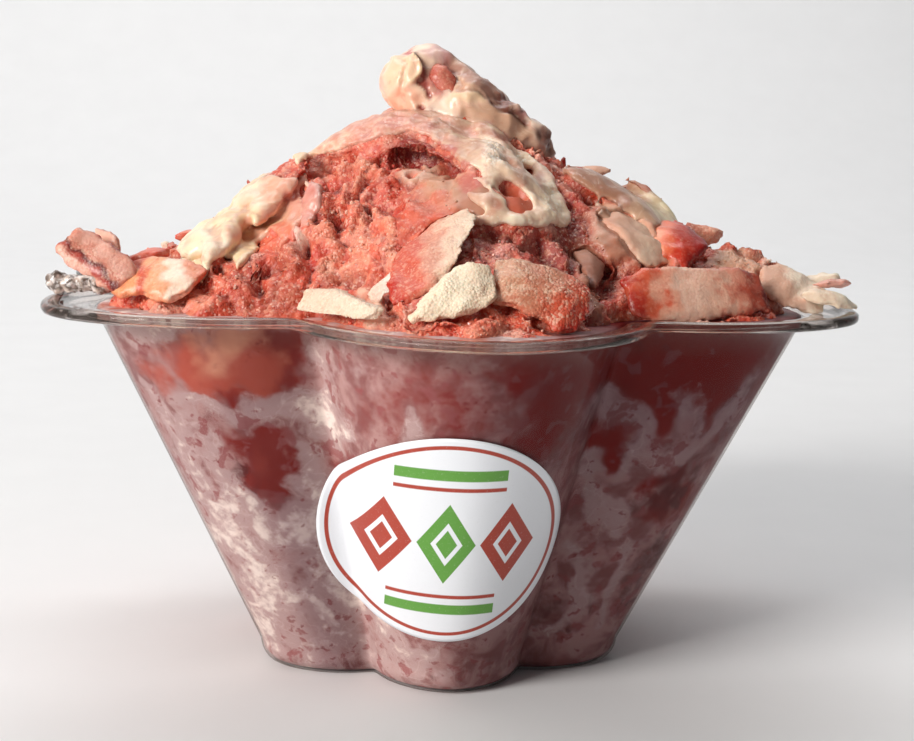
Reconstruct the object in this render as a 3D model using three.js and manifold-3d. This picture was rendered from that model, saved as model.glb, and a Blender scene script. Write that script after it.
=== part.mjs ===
// A shaved ice dessert in its clear six-petal bowl: packed ice that fills the bowl and stands
// above it in a mound, with strawberry slices, frozen slabs and poured cream on it.
// Units are millimetres, +Z is up, the bowl stands on z = 0 and one petal faces -Y.

import * as THREE from 'three';
import { mergeVertices } from 'three/addons/utils/BufferGeometryUtils.js';
import Module from 'manifold-3d';

const wasm = await Module();
wasm.setup();

// ---- Driving sizes -------------------------------------------------------------------

const RIM_RADIUS = 88;            // flange edge at a petal's tip
const BOWL_HEIGHT = 76.6;
const PETALS = 6;
const VALLEY_RATIO = 0.749;       // radius in a valley over radius at a petal's tip
const PETAL_POWER = 1.64;         // how late a petal turns in towards its valleys
const VALLEY_SOFTNESS = 2.2;      // degrees over which a valley is rounded
const FLANGE_WIDTH = 9.8;
const FLANGE_THICKNESS = 1.1;
const FLANGE_STEP = 0.7;          // height of the raised outer band of the flange
const LIP_DROP = 1.3;             // how far the outer edge turns down
const BASE_RADIUS = 39.4;         // petal tip radius where the wall would meet the table
const BASE_ROUND = 4.5;           // height of the rounding under the wall
const WALL = 1.2;                 // bowl wall, measured along the radius
const GAP = 0.36;                 // clearance between pieces that touch
const AROUND = 72;                // steps round the bowl and the mound

const MOUND_EDGE_Z = BOWL_HEIGHT - 0.6;
const ICE_EDGE_Z = BOWL_HEIGHT - 1.8;      // where the ice leaves the wall, give or take its unevenness
const ICE_EDGE_UNEVEN = 0.7;
const FILL_TIP_RADIUS = wallTipRadius(ICE_EDGE_Z - ICE_EDGE_UNEVEN) - WALL - GAP;

// Height of the mound above its edge, by distance from the axis towards a petal's tip.
const MOUND_PROFILE = [
  [0, 43.5], [6, 42.5], [13, 37], [22, 31], [30, 25.5], [40, 20], [50, 14], [60, 8.5], [70, 4], [80, 0.3],
];

// Lumps and hollows of the mound: place, radius and height.
const MOUND_LUMPS = [
  { x: 8, y: -1, radius: 14, height: 6.5 },     // right half of the head
  { x: 25, y: -5, radius: 9, height: -4.5 },    // notch right of the head
  { x: -23, y: 1, radius: 7, height: 3.5 },     // ledge left of the head
  { x: -38, y: 1, radius: 12, height: 3 },    // left shoulder
  { x: -32, y: -14, radius: 10, height: 3 },
  { x: 46, y: -4, radius: 18, height: 7.5 },     // right shoulder
  { x: 63, y: -25, radius: 16, height: 3.5 },   // right rim
  { x: 62, y: 28, radius: 15, height: 2.5 },
  { x: -56, y: 22, radius: 17, height: -2 },
  { x: -64, y: -30, radius: 13, height: 2 },    // left rim
  { x: 4, y: -34, radius: 13, height: 2.5 },    // brow under the cream band
  { x: -14, y: -44, radius: 11, height: 2 },
  { x: 30, y: 30, radius: 16, height: 4 },
  { x: -14, y: 40, radius: 16, height: 3.5 },
  { x: 2, y: -19, radius: 7, height: -3 },      // dark crevice under the head
  { x: -12, y: 22, radius: 8, height: -3 },
];

// ---- Numbers drawn from place, so that every build gives the same relief ----------------

function draw(i, j, salt) {
  let n = Math.imul(i, 374761393) + Math.imul(j, 668265263) + Math.imul(salt, 974634773);
  n = Math.imul(n ^ (n >>> 13), 1274126177);
  return ((n ^ (n >>> 16)) >>> 0) / 4294967296;
}

// Smooth noise from -1 to 1 over the plane, with one draw for each unit square's corner.
function noise(x, y, salt) {
  const i = Math.floor(x);
  const j = Math.floor(y);
  const fx = THREE.MathUtils.smoothstep(x - i, 0, 1);
  const fy = THREE.MathUtils.smoothstep(y - j, 0, 1);
  const low = THREE.MathUtils.lerp(draw(i, j, salt), draw(i + 1, j, salt), fx);
  const high = THREE.MathUtils.lerp(draw(i, j + 1, salt), draw(i + 1, j + 1, salt), fx);
  return 2 * THREE.MathUtils.lerp(low, high, fy) - 1;
}

// ---- The petal outline and the mound ------------------------------------------------------

function sharpPetal(angle, tipRadius) {
  const turn = (angle + Math.PI / 2) / (2 * Math.PI / PETALS) + 0.5;
  const fromTip = Math.abs(turn - Math.floor(turn) - 0.5) * 2;
  return tipRadius * (1 - (1 - VALLEY_RATIO) * fromTip ** PETAL_POWER);
}

function petalRadius(angle, tipRadius) {
  const side = THREE.MathUtils.degToRad(VALLEY_SOFTNESS);
  const before = sharpPetal(angle - side, tipRadius);
  const after = sharpPetal(angle + side, tipRadius);
  return (before + 2 * sharpPetal(angle, tipRadius) + after) / 4;
}

function wallTipRadius(z) {
  const top = RIM_RADIUS - FLANGE_WIDTH;
  return THREE.MathUtils.lerp(BASE_RADIUS, top, z / BOWL_HEIGHT);
}

function profileHeight(distance) {
  let height = 0;
  for (let i = 1; i < MOUND_PROFILE.length; i += 1) {
    const [r0, z0] = MOUND_PROFILE[i - 1];
    const [r1, z1] = MOUND_PROFILE[i];
    if (distance >= r0) {
      height = z0 + (z1 - z0) * Math.min(1, (distance - r0) / (r1 - r0));
    }
  }
  return height;
}

// The mound without its fine relief, as the toppings see it.
function smoothMound(x, y) {
  const distance = Math.hypot(x, y);
  const edge = petalRadius(Math.atan2(y, x), FILL_TIP_RADIUS);
  const outward = THREE.MathUtils.smoothstep(distance / edge, 0.35, 1);
  const stretched = distance * (1 + outward * (FILL_TIP_RADIUS / edge - 1));
  let height = MOUND_EDGE_Z + profileHeight(stretched);
  for (const lump of MOUND_LUMPS) {
    const away = Math.hypot(x - lump.x, y - lump.y) / lump.radius;
    if (away < 1) {
      height += lump.height * (1 - away * away) ** 2;
    }
  }
  return height;
}

// Packed, scraped ice: broad lumps, slanting ridges and small crags.
function moundRelief(x, y) {
  const lumps = 2 * noise(x / 12, y / 12, 1);
  const slantX = (x * 0.8 + y * 0.6) / 6.5;
  const slantY = (y * 0.8 - x * 0.6) / 17;
  const ridges = 1.9 * (0.5 - Math.abs(noise(slantX, slantY, 2)) * 1.6);
  const crags = 1.1 * noise(x / 4.4, y / 4.4, 3);
  return lumps + ridges + crags;
}

function mound(x, y) {
  const distance = Math.hypot(x, y);
  const edge = petalRadius(Math.atan2(y, x), FILL_TIP_RADIUS);
  const inside = 1 - THREE.MathUtils.smoothstep(distance / edge, 0.93, 1);
  return smoothMound(x, y) + inside * moundRelief(x, y);
}

// ---- Solids --------------------------------------------------------------------------------

// A closed solid from rings of points, each with as many points, with a centre at either end.
function loft(rings, firstCentre, lastCentre) {
  const count = rings[0].length;
  const positions = [];
  for (const ring of rings) {
    for (const point of ring) {
      positions.push(point.x, point.y, point.z);
    }
  }
  positions.push(firstCentre.x, firstCentre.y, firstCentre.z);
  positions.push(lastCentre.x, lastCentre.y, lastCentre.z);
  const firstIndex = rings.length * count;
  const index = [];
  for (let k = 0; k < count; k += 1) {
    const next = (k + 1) % count;
    index.push(firstIndex, next, k);
    for (let r = 0; r < rings.length - 1; r += 1) {
      const low = r * count;
      const high = low + count;
      index.push(low + k, low + next, high + k);
      index.push(low + next, high + next, high + k);
    }
    const last = (rings.length - 1) * count;
    index.push(last + k, last + next, firstIndex + 1);
  }
  const geometry = new THREE.BufferGeometry();
  geometry.setAttribute('position', new THREE.Float32BufferAttribute(positions, 3));
  geometry.setIndex(index);
  return geometry;
}

function solidOf(geometry) {
  const bare = geometry.clone();
  for (const name of Object.keys(bare.attributes)) {
    if (name !== 'position') {
      bare.deleteAttribute(name);
    }
  }
  const merged = mergeVertices(bare, 1e-4);
  return new wasm.Manifold(new wasm.Mesh({
    numProp: 3,
    vertProperties: new Float32Array(merged.attributes.position.array),
    triVerts: new Uint32Array(merged.index.array),
  }));
}

// The largest of the pieces a cut leaves: loose scraps and sealed hollows go.
function mainPiece(solid) {
  const pieces = solid.decompose();
  pieces.sort((a, b) => b.volume() - a.volume());
  return pieces[0];
}

function geometryOf(solid) {
  const mesh = solid.getMesh();
  const geometry = new THREE.BufferGeometry();
  const positions = new Float32Array(mesh.vertProperties);
  geometry.setAttribute('position', new THREE.BufferAttribute(positions, 3));
  geometry.setIndex(new THREE.BufferAttribute(new Uint32Array(mesh.triVerts), 1));
  geometry.computeVertexNormals();
  return geometry;
}

function petalRing(tipRadius, z) {
  const ring = [];
  for (let k = 0; k < AROUND; k += 1) {
    const angle = 2 * Math.PI * k / AROUND;
    const radius = petalRadius(angle, tipRadius);
    ring.push(new THREE.Vector3(radius * Math.cos(angle), radius * Math.sin(angle), z));
  }
  return ring;
}

// Rings of the rounding between a flat bottom at z = floor and a slanting wall.
function roundedFoot(inset, floor, round) {
  const steps = 2;
  const rings = [];
  for (let k = 0; k <= steps; k += 1) {
    const turn = (Math.PI / 2) * k / steps;
    const z = floor + round * (1 - Math.cos(turn));
    const radius = wallTipRadius(floor + round) - inset - round * (1 - Math.sin(turn)) * 0.9;
    rings.push(petalRing(radius, z));
  }
  return rings;
}

function makeBowl() {
  const wallTop = RIM_RADIUS - FLANGE_WIDTH;
  const under = BOWL_HEIGHT - FLANGE_STEP - FLANGE_THICKNESS;
  const outer = [
    ...roundedFoot(0, 0, BASE_ROUND),
    petalRing(wallTipRadius(under), under),
    petalRing(RIM_RADIUS - 1, BOWL_HEIGHT - FLANGE_STEP - LIP_DROP),
    petalRing(RIM_RADIUS, BOWL_HEIGHT - FLANGE_STEP - 0.4),
    petalRing(RIM_RADIUS - 0.7, BOWL_HEIGHT),
    petalRing(RIM_RADIUS - 3.2, BOWL_HEIGHT),
    petalRing(RIM_RADIUS - 4.1, BOWL_HEIGHT - FLANGE_STEP),
    petalRing(wallTop - WALL + 0.8, BOWL_HEIGHT - FLANGE_STEP),
    petalRing(wallTipRadius(under) - WALL, under),
  ];
  const inner = roundedFoot(WALL, WALL, BASE_ROUND - 0.5).reverse();
  const rings = [...outer, ...inner];
  return loft(rings, new THREE.Vector3(0, 0, 0), new THREE.Vector3(0, 0, WALL));
}

// The packed ice as one solid: the fill inside the wall, and the mound's uneven top.
function makeIceBody() {
  const inset = WALL + GAP;
  const rings = roundedFoot(inset, WALL + GAP, BASE_ROUND - 0.5);
  const edge = [];
  for (const point of petalRing(FILL_TIP_RADIUS, 0)) {
    point.z = ICE_EDGE_Z + ICE_EDGE_UNEVEN * noise(point.x / 6, point.y / 6, 4);
    edge.push(point);
  }
  rings.push(edge);
  const steps = 16;
  for (let s = 1; s < steps; s += 1) {
    const share = 1 - s / steps;
    const ring = [];
    for (const point of petalRing(1, 0)) {
      const angle = Math.atan2(point.y, point.x);
      const round = share * FILL_TIP_RADIUS;
      const lobed = petalRadius(angle, round);
      const radius = THREE.MathUtils.lerp(round * 0.86, lobed, THREE.MathUtils.smoothstep(share, 0.3, 0.9));
      const wander = 0.35 * FILL_TIP_RADIUS / steps * noise(angle * 9, s * 1.7, 5);
      const x = (radius + wander) * Math.cos(angle);
      const y = (radius + wander) * Math.sin(angle);
      ring.push(new THREE.Vector3(x, y, mound(x, y)));
    }
    rings.push(ring);
  }
  return loft(rings, new THREE.Vector3(0, 0, WALL + GAP), new THREE.Vector3(0, 0, mound(0, 0)));
}

// A frozen crumb: a many-sided grain, stretched and turned by its own draws.
function makeCrumb(x, y, size, salt) {
  const grain = new THREE.IcosahedronGeometry(size, 0);
  grain.scale(1, 0.7 + 0.5 * draw(salt, 1, 6), 0.6 + 0.3 * draw(salt, 2, 6));
  grain.rotateZ(6.3 * draw(salt, 3, 6));
  grain.rotateX(1.2 * draw(salt, 4, 6));
  grain.translate(x, y, mound(x, y) + 0.35 * size);
  return solidOf(grain);
}

// ---- Where a topping lies: on the mound, turned with its slope ------------------------------

function slopeNormal(x, y) {
  const step = 4;
  const dx = (smoothMound(x + step, y) - smoothMound(x - step, y)) / (2 * step);
  const dy = (smoothMound(x, y + step) - smoothMound(x, y - step)) / (2 * step);
  return new THREE.Vector3(-dx, -dy, 1).normalize();
}

// heading is the way the long axis points, seen from above. pitch lifts its front end and
// roll turns the piece about its long axis, both from lying flat on the slope.
function lieOnMound({ x, y, lift = 0, heading = 0, pitch = 0, roll = 0 }) {
  const normal = slopeNormal(x, y);
  const turn = THREE.MathUtils.degToRad(heading);
  const along = new THREE.Vector3(Math.cos(turn), Math.sin(turn), 0);
  along.addScaledVector(normal, -along.dot(normal)).normalize();
  const across = new THREE.Vector3().crossVectors(normal, along);
  const place = new THREE.Matrix4().makeBasis(along, across, normal);
  place.multiply(new THREE.Matrix4().makeRotationY(-THREE.MathUtils.degToRad(pitch)));
  place.multiply(new THREE.Matrix4().makeRotationX(THREE.MathUtils.degToRad(roll)));
  const height = Math.max(smoothMound(x, y), BOWL_HEIGHT) + lift;
  place.setPosition(x, y, height);
  return place;
}

// ---- Cut pieces of fruit and ice ---------------------------------------------------------------

// Half width, from 0 to 1, along a piece that runs from t = 0 to t = 1.
const OUTLINES = {
  slice: (t) => Math.sqrt(Math.max(0, 1 - Math.abs(2 * t ** 1.35 - 1) ** 2.3)) * (1 - 0.35 * t),
  slab: (t) => Math.min(1, 0.68 + 2.4 * Math.min(t, 1 - t)),
  shred: (t) => Math.sqrt(Math.max(0, 1 - Math.abs(2 * t - 1) ** 2.6)) * (1 - 0.5 * t),
  wedge: (t) => Math.sqrt(Math.max(0, 1 - Math.abs(2 * t ** 0.8 - 1) ** 3)) * (1 - 0.75 * t),
};

// A thin curved piece: its outline by name, bent along its length and cupped across it.
function makeFlake(piece, grow = 0) {
  const { length, width, thick, outline = 'slab', bend = 0, cup = 0, twist = 0, salt = 1 } = piece;
  const alongSteps = Math.max(4, Math.min(6, Math.round(length / 3)));
  const acrossSteps = 2;
  const flake = new THREE.BoxGeometry(1, 1, 1, alongSteps, acrossSteps, 1);
  const position = flake.attributes.position;
  const halfWidth = OUTLINES[outline];
  for (let i = 0; i < position.count; i += 1) {
    const t = position.getX(i) + 0.5;
    const side = position.getY(i) * 2;
    const face = position.getZ(i) * 2;
    const reach = Math.max(0.12, halfWidth(t));
    const rough = 1 + 0.2 * noise(t * 6 + salt * 3.1, side * 2, 7) * Math.abs(side);
    const x = (t - 0.5) * (length + 2 * grow) + 0.07 * length * noise(side * 2.3, salt + 0.5, 8);
    const y = side * (reach * rough * width / 2 + grow);
    const edgeThin = 1 - 0.35 * Math.max(Math.abs(side), Math.abs(2 * t - 1)) ** 4;
    const bump = 0.18 * thick * noise(t * 5, side * 2 + salt, 9);
    const z = face * (edgeThin * thick / 2 + grow) + bump;
    const curve = -bend * (2 * t - 1) ** 2 - cup * side * side * reach;
    const wring = THREE.MathUtils.degToRad(twist) * (t - 0.5);
    position.setXYZ(i, x, y * Math.cos(wring) - z * Math.sin(wring),
      y * Math.sin(wring) + z * Math.cos(wring) + curve);
  }
  flake.applyMatrix4(lieOnMound(piece));
  return flake;
}

const RED = '#c4453b';
const PINK = '#d9807a';
const PALE = '#e6cbb8';
const BEIGE = '#cdb09b';
const CREAM = '#e9dcba';
const MAUVE_CREAM = '#d2a9a4';

// Front and sides first, then the back.
const FLAKES = [
  { name: 'strawberry_slice_front', colour: RED, outline: 'slice', salt: 1,
    x: -7.4, y: -53.5, lift: 0.7, heading: 58, pitch: 2, roll: -8,
    length: 28, width: 15, thick: 3.2, bend: 0.8, cup: 0.6 },
  { name: 'frosted_slab_front', colour: PALE, outline: 'slab', salt: 2,
    x: -5.5, y: -66, lift: 1.2, heading: 6, pitch: 3, roll: 22,
    length: 16, width: 11, thick: 3.4, bend: 0.4 },
  { name: 'strawberry_slice_frosted', colour: PINK, outline: 'slab', salt: 3,
    x: 10.5, y: -64.5, lift: 1.6, heading: -17, pitch: -2, roll: 24,
    length: 18, width: 11.5, thick: 3, bend: 1.2, cup: 0.4 },
  { name: 'frosted_slab_left', colour: PALE, outline: 'slab', salt: 4,
    x: -23.6, y: -58.2, lift: 0.8, heading: -47, pitch: 1, roll: 24,
    length: 21, width: 7, thick: 3, bend: -0.6 },
  { name: 'frosted_wedge_front', colour: PALE, outline: 'wedge', salt: 5,
    x: -15.5, y: -56.5, lift: 0.6, heading: 60, pitch: 4, roll: 0,
    length: 7.5, width: 6, thick: 2.4 },
  { name: 'strawberry_slice_right', colour: PINK, outline: 'slab', salt: 6,
    x: 44.5, y: -45, lift: 0.3, heading: 17, pitch: 1, roll: 28,
    length: 30, width: 10, thick: 3, bend: 1, cup: 0.3 },
  { name: 'strawberry_slice_red', colour: RED, outline: 'slice', salt: 7,
    x: 45.2, y: -30, lift: 1.1, heading: 98, pitch: 6, roll: -12,
    length: 15, width: 11, thick: 2.8, bend: 0.8 },
  { name: 'strawberry_chip_right', colour: PINK, outline: 'wedge', salt: 8,
    x: 52.8, y: -14, lift: 1.4, heading: 24, pitch: 34, roll: 24,
    length: 11, width: 8, thick: 2.8, bend: -0.6, twist: 30 },
  { name: 'iced_slice_right', colour: BEIGE, outline: 'slab', salt: 9,
    x: 34.5, y: -34.5, lift: 0.9, heading: -58, pitch: 0, roll: -6,
    length: 15.5, width: 9.5, thick: 2.6, bend: 0.7 },
  { name: 'iced_chip_right', colour: BEIGE, outline: 'wedge', salt: 10,
    x: 23.5, y: -43, lift: 0.8, heading: -80, pitch: 2, roll: 12,
    length: 13, width: 8, thick: 2.6, bend: 0.4 },
  { name: 'iced_slab_rim_right', colour: BEIGE, outline: 'slab', salt: 11,
    x: 66.5, y: -34, lift: 0.8, heading: -12, pitch: 5, roll: 26,
    length: 14, width: 9.5, thick: 2.8, bend: 1 },
  { name: 'cream_shred_upper', colour: CREAM, outline: 'shred', salt: 12,
    x: 71.8, y: -29, lift: 3.4, heading: 14, pitch: 30, roll: 20,
    length: 11, width: 4.5, thick: 2, bend: -1 },
  { name: 'pink_shred', colour: PINK, outline: 'shred', salt: 13,
    x: 74, y: -33.8, lift: 5, heading: 5, pitch: 14, roll: 0,
    length: 8, width: 3.2, thick: 2.2, bend: 0.3 },
  { name: 'cream_shred_curl', colour: CREAM, outline: 'shred', salt: 14,
    x: 73, y: -37.6, lift: 2.6, heading: 6, pitch: -6, roll: 26,
    length: 12.5, width: 5.5, thick: 1.9, bend: 1.6 },
  { name: 'strawberry_bit_right', colour: RED, outline: 'slab', salt: 15,
    x: 63, y: -19, lift: 1.4, heading: 8, pitch: 0, roll: 10,
    length: 6, width: 4.2, thick: 2.4 },
  { name: 'iced_shaving_upper', colour: BEIGE, outline: 'shred', salt: 16,
    x: 28.8, y: -7, lift: 2.4, heading: -12, pitch: 8, roll: 40,
    length: 12, width: 4.5, thick: 1.6, bend: 0.7 },
  { name: 'strawberry_chip_left', colour: PINK, outline: 'slab', salt: 17,
    x: -70, y: -34, lift: 6.4, heading: 142, pitch: 42, roll: -36,
    length: 15, width: 7, thick: 3, bend: -0.8 },
  { name: 'strawberry_chip_left_back', colour: RED, outline: 'wedge', salt: 18,
    x: -67, y: -27.5, lift: 5.4, heading: 112, pitch: 44, roll: -50,
    length: 9, width: 5, thick: 2.4 },
  { name: 'strawberry_slice_left', colour: PINK, outline: 'slab', salt: 19,
    x: -57, y: -38.2, lift: 0.9, heading: -30, pitch: -2, roll: 12,
    length: 16, width: 9.5, thick: 3, bend: 1 },
  { name: 'strawberry_slice_left_upper', colour: RED, outline: 'slice', salt: 20,
    x: -61, y: -25.5, lift: 1.4, heading: 185, pitch: 2, roll: 4,
    length: 11, width: 8, thick: 2.8, bend: 0.6 },
  { name: 'strawberry_fold_head', colour: RED, outline: 'slice', salt: 21,
    x: -2.6, y: -9.2, lift: 3.6, heading: 118, pitch: 8, roll: -20,
    length: 9, width: 7, thick: 3.2, bend: 1 },
  { name: 'strawberry_slice_back', colour: RED, outline: 'slice', salt: 22,
    x: 10, y: 54, lift: 0.9, heading: 75, pitch: 0, roll: 8,
    length: 26, width: 14, thick: 3, bend: 1 },
  { name: 'frosted_slab_back', colour: PALE, outline: 'slab', salt: 23,
    x: -12, y: 63, lift: 1.1, heading: 165, pitch: 2, roll: 10,
    length: 18, width: 10, thick: 3.2, bend: 0.5 },
  { name: 'iced_slab_back_right', colour: BEIGE, outline: 'slab', salt: 24,
    x: 48, y: 41, lift: 1, heading: 130, pitch: 0, roll: 6,
    length: 21, width: 10, thick: 3, bend: 0.8 },
  { name: 'strawberry_slice_back_left', colour: PINK, outline: 'slice', salt: 25,
    x: -47, y: 41, lift: 0.9, heading: 215, pitch: 2, roll: -6,
    length: 24, width: 12, thick: 3, bend: 0.9 },
];

// ---- Poured cream ---------------------------------------------------------------------------------

// Tongues of thick cream run over the mound. Each course is its middle line, as points with
// a place, half width and thickness. A tongue is rounded across and sunk a little into the
// ice, and a window is an oval hole in it, where the ice shows.
const TONGUES = [
  { name: 'cream_band', colour: MAUVE_CREAM, sink: 1.3,
    courses: [[
      { x: -29, y: -7, half: 3.4, thick: 1.8 }, { x: -18, y: -11, half: 5.5, thick: 2.2 },
      { x: -7, y: -19, half: 5, thick: 2.2 }, { x: 2.5, y: -26, half: 7, thick: 2.4 },
      { x: 7.5, y: -33, half: 9.4, thick: 2.4 }, { x: 9.5, y: -40, half: 9.4, thick: 2.1 },
      { x: 10.5, y: -44.5, half: 7, thick: 1.7 }]],
    windows: [
      { x: 8.5, y: -38, rx: 3.6, ry: 2 },
      { x: 9, y: -31.5, rx: 2.2, ry: 1.7 }] },
  { name: 'cream_drizzle_left', colour: CREAM, sink: 1.2,
    courses: [[
      { x: -32.5, y: -6, half: 6, thick: 1.7 }, { x: -36, y: -14.5, half: 8.5, thick: 1.9 },
      { x: -41.5, y: -21.5, half: 8.5, thick: 2 }, { x: -48, y: -26.5, half: 6, thick: 1.7 },
      { x: -53, y: -30, half: 2.6, thick: 1.3 }], [
      { x: -43, y: -26, half: 2.6, thick: 1.5 }, { x: -46.5, y: -33, half: 2.3, thick: 1.6 },
      { x: -48, y: -38.5, half: 1.6, thick: 1.4 }]],
    windows: [{ x: -41, y: -28, rx: 2, ry: 2 }] },
  { name: 'cream_sheet_right', colour: BEIGE, sink: 1.2,
    courses: [[
      { x: 22.5, y: -21, half: 5, thick: 1.7 }, { x: 30, y: -19.5, half: 6.5, thick: 1.9 },
      { x: 37, y: -18.5, half: 5, thick: 1.7 }, { x: 42, y: -18, half: 2.6, thick: 1.4 }]],
    windows: [] },
  { name: 'cream_drip_right', colour: CREAM, sink: 1.1,
    courses: [[
      { x: 36.5, y: -8, half: 2.6, thick: 1.6 }, { x: 42, y: -11, half: 2.8, thick: 1.9 },
      { x: 46.5, y: -17.5, half: 1.6, thick: 1.5 }]],
    windows: [] },
  { name: 'cream_pool_left', colour: MAUVE_CREAM, sink: 1.1,
    courses: [[
      { x: -28, y: -22, half: 2.4, thick: 1.6 }, { x: -27.5, y: -27, half: 2.8, thick: 1.9 },
      { x: -26, y: -32.5, half: 1.8, thick: 1.4 }]],
    windows: [] },
  { name: 'cream_back', colour: CREAM, sink: 1.2,
    courses: [[
      { x: 4, y: 16, half: 5, thick: 2.2 }, { x: 6, y: 26, half: 6.5, thick: 2.4 },
      { x: 0, y: 36, half: 5, thick: 2 }, { x: -6, y: 44, half: 3, thick: 1.6 }]],
    windows: [{ x: 3, y: 31, rx: 2, ry: 2.6 }] },
];
const TONGUE_LIFT = 0.7;

function creamCourse(course, sink, grow) {
  const line = new THREE.CatmullRomCurve3(course.map((p) => new THREE.Vector3(p.x, p.y, 0)));
  const swell = new THREE.CatmullRomCurve3(course.map((p) => new THREE.Vector3(p.half, p.thick, 0)));
  const steps = Math.round(1.6 * (course.length - 1)) + 1;
  const section = 8;
  const rings = [];
  for (let s = 0; s <= steps; s += 1) {
    const t = s / steps;
    const share = s === 0 || s === steps ? 0.45 : 1;
    const centre = line.getPoint(t);
    const way = line.getTangent(t);
    const endward = (s === 0 ? -1 : 0) + (s === steps ? 1 : 0);
    const { x: half, y: thick } = swell.getPoint(t);
    const ring = [];
    for (let k = 0; k < section; k += 1) {
      const turn = 2 * Math.PI * k / section;
      const out = (half * share + grow) * Math.cos(turn);
      const x = centre.x - way.y * out + way.x * endward * grow;
      const y = centre.y + way.x * out + way.y * endward * grow;
      const rise = Math.sin(turn);
      const up = rise > 0 ? rise * (thick * share + grow) : rise * (sink + grow);
      ring.push(new THREE.Vector3(x, y, smoothMound(x, y) + TONGUE_LIFT + up));
    }
    rings.push(ring);
  }
  const ends = [line.getPoint(0), line.getPoint(1)];
  for (const end of ends) {
    end.z = smoothMound(end.x, end.y) + TONGUE_LIFT;
  }
  return solidOf(loft(rings, ends[0], ends[1]));
}

function makeTongue({ courses, sink, windows }, grow = 0) {
  const runs = courses.map((course) => creamCourse(course, sink, grow));
  const cream = runs.reduce((whole, run) => whole.add(run));
  const holes = windows.map((window) => {
    const hole = new THREE.SphereGeometry(1, 8, 6);
    hole.rotateX(Math.PI / 2);
    hole.scale(window.rx - grow, window.ry - grow, 6);
    hole.translate(window.x, window.y, smoothMound(window.x, window.y));
    return solidOf(hole);
  });
  return holes.reduce((whole, hole) => whole.subtract(hole), cream);
}

// Rounded lumps of cream at the head: each is a few ellipsoids joined.
const DOLLOPS = [
  { name: 'cream_head', colour: CREAM, balls: [
    { x: -7, y: -2, z: 119, rx: 7, ry: 8, rz: 6.6 },
    { x: -3.4, y: 1.5, z: 121.4, rx: 6.6, ry: 7.5, rz: 5.6 }] },
  { name: 'cream_flank', colour: MAUVE_CREAM, balls: [
    { x: 5, y: 0.5, z: 120, rx: 6.6, ry: 8, rz: 5 },
    { x: 10.4, y: -0.5, z: 116.4, rx: 5.8, ry: 7.6, rz: 4.8 }] },
  { name: 'cream_blob', colour: CREAM, balls: [
    { x: 4.6, y: -8.6, z: 115.6, rx: 5.8, ry: 4.4, rz: 4.6 },
    { x: 11.4, y: -9, z: 112.2, rx: 5.8, ry: 4.4, rz: 4 },
    { x: 17, y: -8, z: 108.8, rx: 4.6, ry: 4, rz: 3.6 }] },
];

function makeDollop({ balls }, grow = 0) {
  const parts = balls.map((ball) => {
    const round = new THREE.SphereGeometry(1, 10, 6);
    round.rotateX(Math.PI / 2);
    round.scale(ball.rx + grow, ball.ry + grow, ball.rz + grow);
    round.translate(ball.x, ball.y, ball.z);
    return solidOf(round);
  });
  return parts.reduce((whole, part) => whole.add(part));
}

// ---- Crumbs ------------------------------------------------------------------------------------------

// Frozen crumbs along the left rim and on the right-hand ridge, fused to the ice under them.
const CRUMB_BANDS = [
  { from: [-60, -34], to: [-26, -46], count: 5, spread: 5, size: 2.5 },
  { from: [52, -22], to: [70, -22], count: 4, spread: 4, size: 2.3 },
  { from: [-30, -24], to: [-14, -30], count: 3, spread: 6, size: 2.4 },
  { from: [-50, 30], to: [40, 50], count: 4, spread: 9, size: 2.6 },
];

function makeCrumbs() {
  const crumbs = [];
  CRUMB_BANDS.forEach((band, b) => {
    for (let k = 0; k < band.count; k += 1) {
      const salt = 100 * b + k;
      const t = (k + draw(salt, 5, 6)) / band.count;
      const x = THREE.MathUtils.lerp(band.from[0], band.to[0], t) + band.spread * (draw(salt, 6, 6) - 0.5);
      const y = THREE.MathUtils.lerp(band.from[1], band.to[1], t) + band.spread * (draw(salt, 7, 6) - 0.5);
      crumbs.push(makeCrumb(x, y, band.size * (0.7 + 0.6 * draw(salt, 8, 6)), salt));
    }
  });
  return crumbs;
}

// A small clump of clear ice grains that lies on the flange at the far left.
const CLUMP = { x: -72.5, y: -27, grains: 4, reach: 4.5, size: 2.7 };

function makeClump(grow = 0) {
  const grains = [];
  for (let k = 0; k < CLUMP.grains; k += 1) {
    const grain = new THREE.IcosahedronGeometry(CLUMP.size * (0.8 + 0.4 * draw(k, 1, 11)) + grow, 0);
    grain.rotateZ(5 * draw(k, 2, 11));
    const t = k / (CLUMP.grains - 1) - 0.5;
    const x = CLUMP.x + 2 * CLUMP.reach * t;
    const y = CLUMP.y - 6 * t + 1.5 * draw(k, 3, 11);
    grain.translate(x, y, BOWL_HEIGHT + CLUMP.size * 0.85 + 1.4 * Math.max(0, t));
    grains.push(solidOf(grain));
  }
  return grains.reduce((whole, grain) => whole.add(grain));
}

// ---- Label ---------------------------------------------------------------------------------------------

// A plain oval paper label on the front petal, bent with the wall.
const LABEL = { x: -4, z: 35, width: 46, height: 44, thick: 0.35, clear: 0.7 };

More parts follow.
